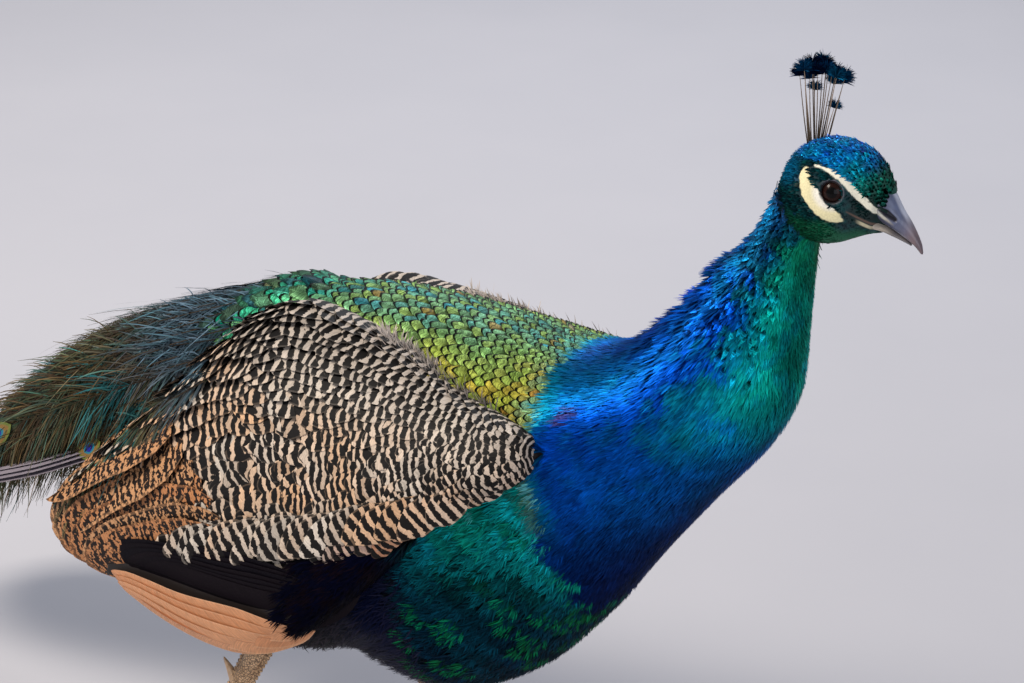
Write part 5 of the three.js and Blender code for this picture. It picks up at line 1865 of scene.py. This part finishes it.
def eyeballs():
    """Round eyes with a dark brown iris and a black pupil, looking a little ahead."""
    for name, side in (("right", -1), ("left", 1)):
        pole = unit(np.array([0.12, side * 1.0, 0.04]))
        down, round_ = np.linspace(0.002, math.pi - 0.002, 61), np.arange(72) * 2 * math.pi / 72
        t, turn = np.meshgrid(down, round_, indexing="ij")
        first = unit(np.cross(pole, [0, 0, 1.0]))
        second = np.cross(pole, first)
        ring = np.sin(t)[..., None] * (np.cos(turn)[..., None] * first + np.sin(turn)[..., None] * second)
        directions = ring + np.cos(t)[..., None] * pole
        bulge = 1 + 0.02 * ramp(0.55, 0.0, t)
        centre = np.array([EYE_PLACE[0], side * EYE_PLACE[1], EYE_PLACE[2]])
        corners = centre + EYE_RADIUS * directions * bulge[..., None]
        tint = blend("#220e08", "#0e0504", ramp(0.66, 0.95, t), "#030202", ramp(0.46, 0.4, t))
        corners = on_head(corners.reshape(-1, 3))
        made = new_object(f"eyeball_{name}", corners, tube_faces(61, 72), tint.reshape(-1, 3))
        dressed(made, EYE, "eye", f"eye_{name}")


# ---------- legs ----------
TOE_LENGTHS = {"inner": 56, "middle": 74, "outer": 60, "hallux": 27}
CLAW_LENGTH = 13
SPUR_LENGTH = 21


def toe_line(leg, toe):
    """The direction on the floor that a toe points in."""
    turn = {"inner": -leg["side"] * 26, "middle": 0, "outer": leg["side"] * 26, "hallux": 180 - leg["side"] * 22}
    angle = math.radians(leg["heading"] + turn[toe])
    return np.array([math.cos(angle), math.sin(angle), 0.0])


def leg_shells(leg):
    foot, hock = np.array(leg["foot"], float), leg["hock"]
    stations = [
        (between(leg["shin"], hock, 0.6), 7), (between(leg["shin"], hock, 0.84), 8.3), (hock, 10.2),
        (between(hock, foot, 0.16), 8.2), (between(hock, foot, 0.5), 6.6), (between(hock, foot, 0.85), 7.4),
        (foot, 9.2), (foot + (2, 0, -9), 8),
    ]
    shells = [limb(stations, (0, 1, 0)).shell(80, 32)]
    for toe, length in TOE_LENGTHS.items():
        way = toe_line(leg, toe)
        heights = [(0, 13, 7.6), (0.3, 7, 6.4), (0.42, 5.8, 5.4), (0.52, 5.6, 6.1), (0.66, 5, 5.0), (0.78, 4.9, 5.6),
                   (0.9, 4.6, 4.5), (1, 4.3, 4.4)]
        toe_stations = [((*(foot + way * length * share)[:2], z), r) for share, z, r in heights]
        shells.append(limb(toe_stations, (0, 0, 1)).shell(50, 24))
    return shells


def scute_tree(material):
    """Geometry Nodes: broad plates strung along a line, each turned to it and overlapping the next."""
    tree = bpy.data.node_groups.new("scutes", "GeometryNodeTree")
    tree.interface.new_socket("Line", in_out="INPUT", socket_type="NodeSocketGeometry")
    for label, value in (("Spacing", 0.004), ("Plate width", 0.01), ("Plate height", 0.004), ("Plate rise", 0.002)):
        tree.interface.new_socket(label, in_out="INPUT", socket_type="NodeSocketFloat").default_value = value
    tree.interface.new_socket("Plates", in_out="OUTPUT", socket_type="NodeSocketGeometry")
    given = put(tree, "NodeGroupInput").outputs
    line = put(tree, "GeometryNodeMeshToCurve", given["Line"])
    even = put(tree, "GeometryNodeResampleCurve", {"Curve": line, "Length": given["Spacing"]}, mode="LENGTH")
    size = put(tree, "ShaderNodeCombineXYZ", given["Plate height"], given["Plate width"], given["Plate rise"])
    plate = put(tree, "GeometryNodeMeshUVSphere", {"Segments": 16, "Rings": 8, "Radius": 0.5})
    plate = put(tree, "GeometryNodeTransform", {"Geometry": plate, "Scale": size})
    along = put(tree, "GeometryNodeInputTangent")
    turned = put(tree, "FunctionNodeAlignRotationToVector", {"Vector": along}, axis="X")
    faced = put(tree, "FunctionNodeAlignRotationToVector",
                {"Rotation": turned, "Vector": put(tree, "GeometryNodeInputNormal")}, axis="Z", pivot_axis="X")
    strung = put(tree, "GeometryNodeInstanceOnPoints", {"Points": even, "Instance": plate, "Rotation": faced})
    smooth = put(tree, "GeometryNodeSetShadeSmooth", put(tree, "GeometryNodeRealizeInstances", strung))
    put(tree, "NodeGroupOutput", put(tree, "GeometryNodeSetMaterial", {"Geometry": smooth, "Material": material}))
    return tree


SCUTES = scute_tree(LEG_SKIN)


def strung_plates(name, points, spacing, width, height, rise):
    """Plates along a line of points in the bird's frame, as a plain mesh."""
    mesh = bpy.data.meshes.new(name)
    mesh.from_pydata([tuple(p) for p in metres(points)], [(i, i + 1) for i in range(len(points) - 1)], [])
    made = bpy.data.objects.new(name, mesh)
    bpy.context.scene.collection.objects.link(made)
    modifier = made.modifiers.new("scutes", "NODES")
    modifier.node_group = SCUTES
    values = {"Spacing": spacing, "Plate width": width, "Plate height": height, "Plate rise": rise}
    for socket in SCUTES.interface.items_tree:
        if socket.item_type == "SOCKET" and socket.name in values:
            modifier[socket.identifier] = values[socket.name] * MM
    return baked(made)


def leg_piece(name, leg):
    """Bare tarsus and toes with plates down the front and over the toes, then claws and spur."""
    bare = fused(f"leg_{name}", leg_shells(leg), voxel=1.25, smoothing=4)
    foot, hock = np.array(leg["foot"], float), np.array(leg["hock"], float)
    shin = unit(foot - hock)
    front = unit(np.cross(shin, [0, 1.0, 0]))
    front = front if front[0] > 0 else -front
    down = np.linspace(0.02, 0.97, 30)
    radius = np.interp(down, [0, 0.16, 0.5, 0.85, 1], [9.4, 7.9, 6.3, 7.1, 8.6])
    line = hock + (foot - hock) * down[:, None] + front * radius[:, None]
    plates = [strung_plates("plates", line, 5.2, 9.5, 6.6, 2.6)]
    line = hock + (foot - hock) * down[:, None] - front * radius[:, None]
    plates.append(strung_plates("plates", line, 4.6, 8.0, 5.6, 2.0))
    for toe, length in TOE_LENGTHS.items():
        way = toe_line(leg, toe)
        share = np.linspace(0.14, 0.98, 16)
        height = np.interp(share, [0, 0.3, 0.5, 0.75, 1], [19.5, 13.2, 11.3, 10.0, 8.4])
        line = foot * (1, 1, 0) + way * (length * share)[:, None] + np.array([0, 0, 1.0]) * height[:, None]
        plates.append(strung_plates("plates", line, 4.4, 8.6, 5.6, 2.0))
    joined(bare, plates)
    corners = corners_of(bare)
    corners[:, 2] = np.maximum(corners[:, 2], 0.0)
    bare.data.vertices.foreach_set("co", metres(corners).astype(np.float32).ravel())
    bare.data.update()
    dressed(bare, LEG_SKIN, "leg_skin", f"shank_{name}", f"foot_{name}")
    claws_and_spur(name, leg)


def claws_and_spur(name, leg):
    foot = np.array(leg["foot"], float)
    corner_sets, face_sets, start = [], [], 0
    for toe, length in TOE_LENGTHS.items():
        way = toe_line(leg, toe)
        path = [(length - 4, 5.0, 3.0), (length + 3, 6.2, 2.7), (length + 8, 4.8, 1.7),
                (length + CLAW_LENGTH, 1.2, 0.5)]
        stations = [((*(foot + way * d)[:2], z), r) for d, z, r in path]
        corners, faces = limb(stations, (0, 0, 1), cap=0.08).shell(24, 16)
        corners[:, 2] = np.maximum(corners[:, 2], 0.0)
        corner_sets.append(corners)
        face_sets.append(faces + start)
        start += len(corners)
    claws = new_object(f"claws_{name}", np.concatenate(corner_sets), np.concatenate(face_sets),
                       np.broadcast_to(linear("#4a3d34"), (start, 3)))
    dressed(claws, CLAW_HORN, "claw", *[f"claw_{name}_{toe}" for toe in TOE_LENGTHS])
    root = between(leg["hock"], foot, 0.46)
    back = np.array([-0.86, -leg["side"] * 0.3, 0.42])
    stations = [(root + back * 1, 5.4), (root + back * 8, 4.6), (root + back * 16 + (0, 0, 1), 3.0),
                (root + back * (6 + SPUR_LENGTH) + (0, 0, 2.0), 0.7)]
    corners, faces = limb(stations, (0, 1, 0), cap=0.08).shell(30, 20)
    spur = new_object(f"spur_horn_{name}", corners, faces, np.broadcast_to(linear("#c9a684"), corners.shape))
    dressed(spur, SPUR_HORN, "claw", f"spur_{name}")


# ---------- the stage ----------
def floor():
    corners = np.array([[-6000.0, -6000, 0], [6000, -6000, 0], [6000, 6000, 0], [-6000, 6000, 0]])
    plane = new_object("floor", corners, np.array([[0, 1, 2, 3]]))
    material, tree, shader = begin("matt_floor", Roughness=0.9, Specular_IOR_Level=0.2)
    place = put(tree, "ShaderNodeTexCoord").outputs["Object"]
    cloudy = put(tree, NOISE, {"Vector": place, "Scale": 3.0, "Detail": 4.0})
    fill(tree, shader, {"Base Color": put(tree, MIX, cloudy, rgba("#b6b6bc"), rgba("#bfbec3"), **LAID_OVER)})
    plane.data.materials.append(material)


CAMERA_AZIMUTH, CAMERA_DROP = math.radians(38), math.radians(23)
CAMERA_PLACE = np.array([1073.5, -1329.8, 1144.1])
IMAGE_WIDTH = 1024
FOCAL_PIXELS = 2700
SENSOR = 36.0


def camera():
    lens = bpy.data.cameras.new("view")
    lens.sensor_width = SENSOR
    lens.lens = FOCAL_PIXELS / IMAGE_WIDTH * SENSOR
    lens.clip_end = 50
    made = bpy.data.objects.new("view", lens)
    bpy.context.scene.collection.objects.link(made)
    made.location = metres(CAMERA_PLACE)
    made.rotation_euler = (math.pi / 2 - CAMERA_DROP, 0, CAMERA_AZIMUTH)
    bpy.context.scene.camera = made


def lamp(name, place, aim, size, power, colour):
    light = bpy.data.lights.new(name, "AREA")
    light.shape = "RECTANGLE"
    light.size, light.size_y = size
    light.energy = power
    light.color = linear(colour)
    made = bpy.data.objects.new(name, light)
    bpy.context.scene.collection.objects.link(made)
    made.location = place
    made.rotation_euler = (Vector(aim) - Vector(place)).to_track_quat("-Z", "Y").to_euler()


def lights():
    bpy.context.scene.view_settings.view_transform = "Standard"
    lamp("key", (-1.6, -1.9, 3.0), (0.1, 0, 0.35), (1.2, 1.2), 138, "#fff4e6")
    lamp("back", (-1.0, 2.2, 2.4), (0, 0, 0.4), (1.6, 1.2), 45, "#f2f6ff")
    lamp("fill", (2.6, -1.6, 1.2), (0.1, 0, 0.35), (2.0, 2.0), 22, "#eef2ff")
    world = bpy.data.worlds.new("soft_studio")
    world.use_nodes = True
    sky = world.node_tree.nodes["Background"]
    sky.inputs["Color"].default_value = rgba("#e6eaf4")
    sky.inputs["Strength"].default_value = 0.42
    bpy.context.scene.world = world


bare_skin = fused("coat_base", flesh_shells(), voxel=5.0, smoothing=4)

face_coat()
crown_coat()
neck_coat("neck_feathers_upper", 25000, 0.0, 0.22, (8.0, 13.0), (0.9, 0.75))
neck_coat("neck_feathers_middle", 27000, 0.22, 0.42, (13.0, 17.0), (0.7, 0.75))
neck_coat("neck_feathers_lower", 28000, 0.42, 0.7, (17.0, 20.0), (0.75, 0.85))
nape_scales()
mantle_coat()
rump_coat()
breast_coat()
flank_coat()
down_coat()
wing_coverts()
greater_coverts()
tertials()
secondaries()
primaries()
shoulder_fluff()
train_coat()
tail_coat()
crest_coat()
bills()
eyeballs()
for leg_name, leg_plan in LEGS.items():
    leg_piece(leg_name, leg_plan)
bpy.data.objects.remove(bare_skin)

floor()
camera()
lights()
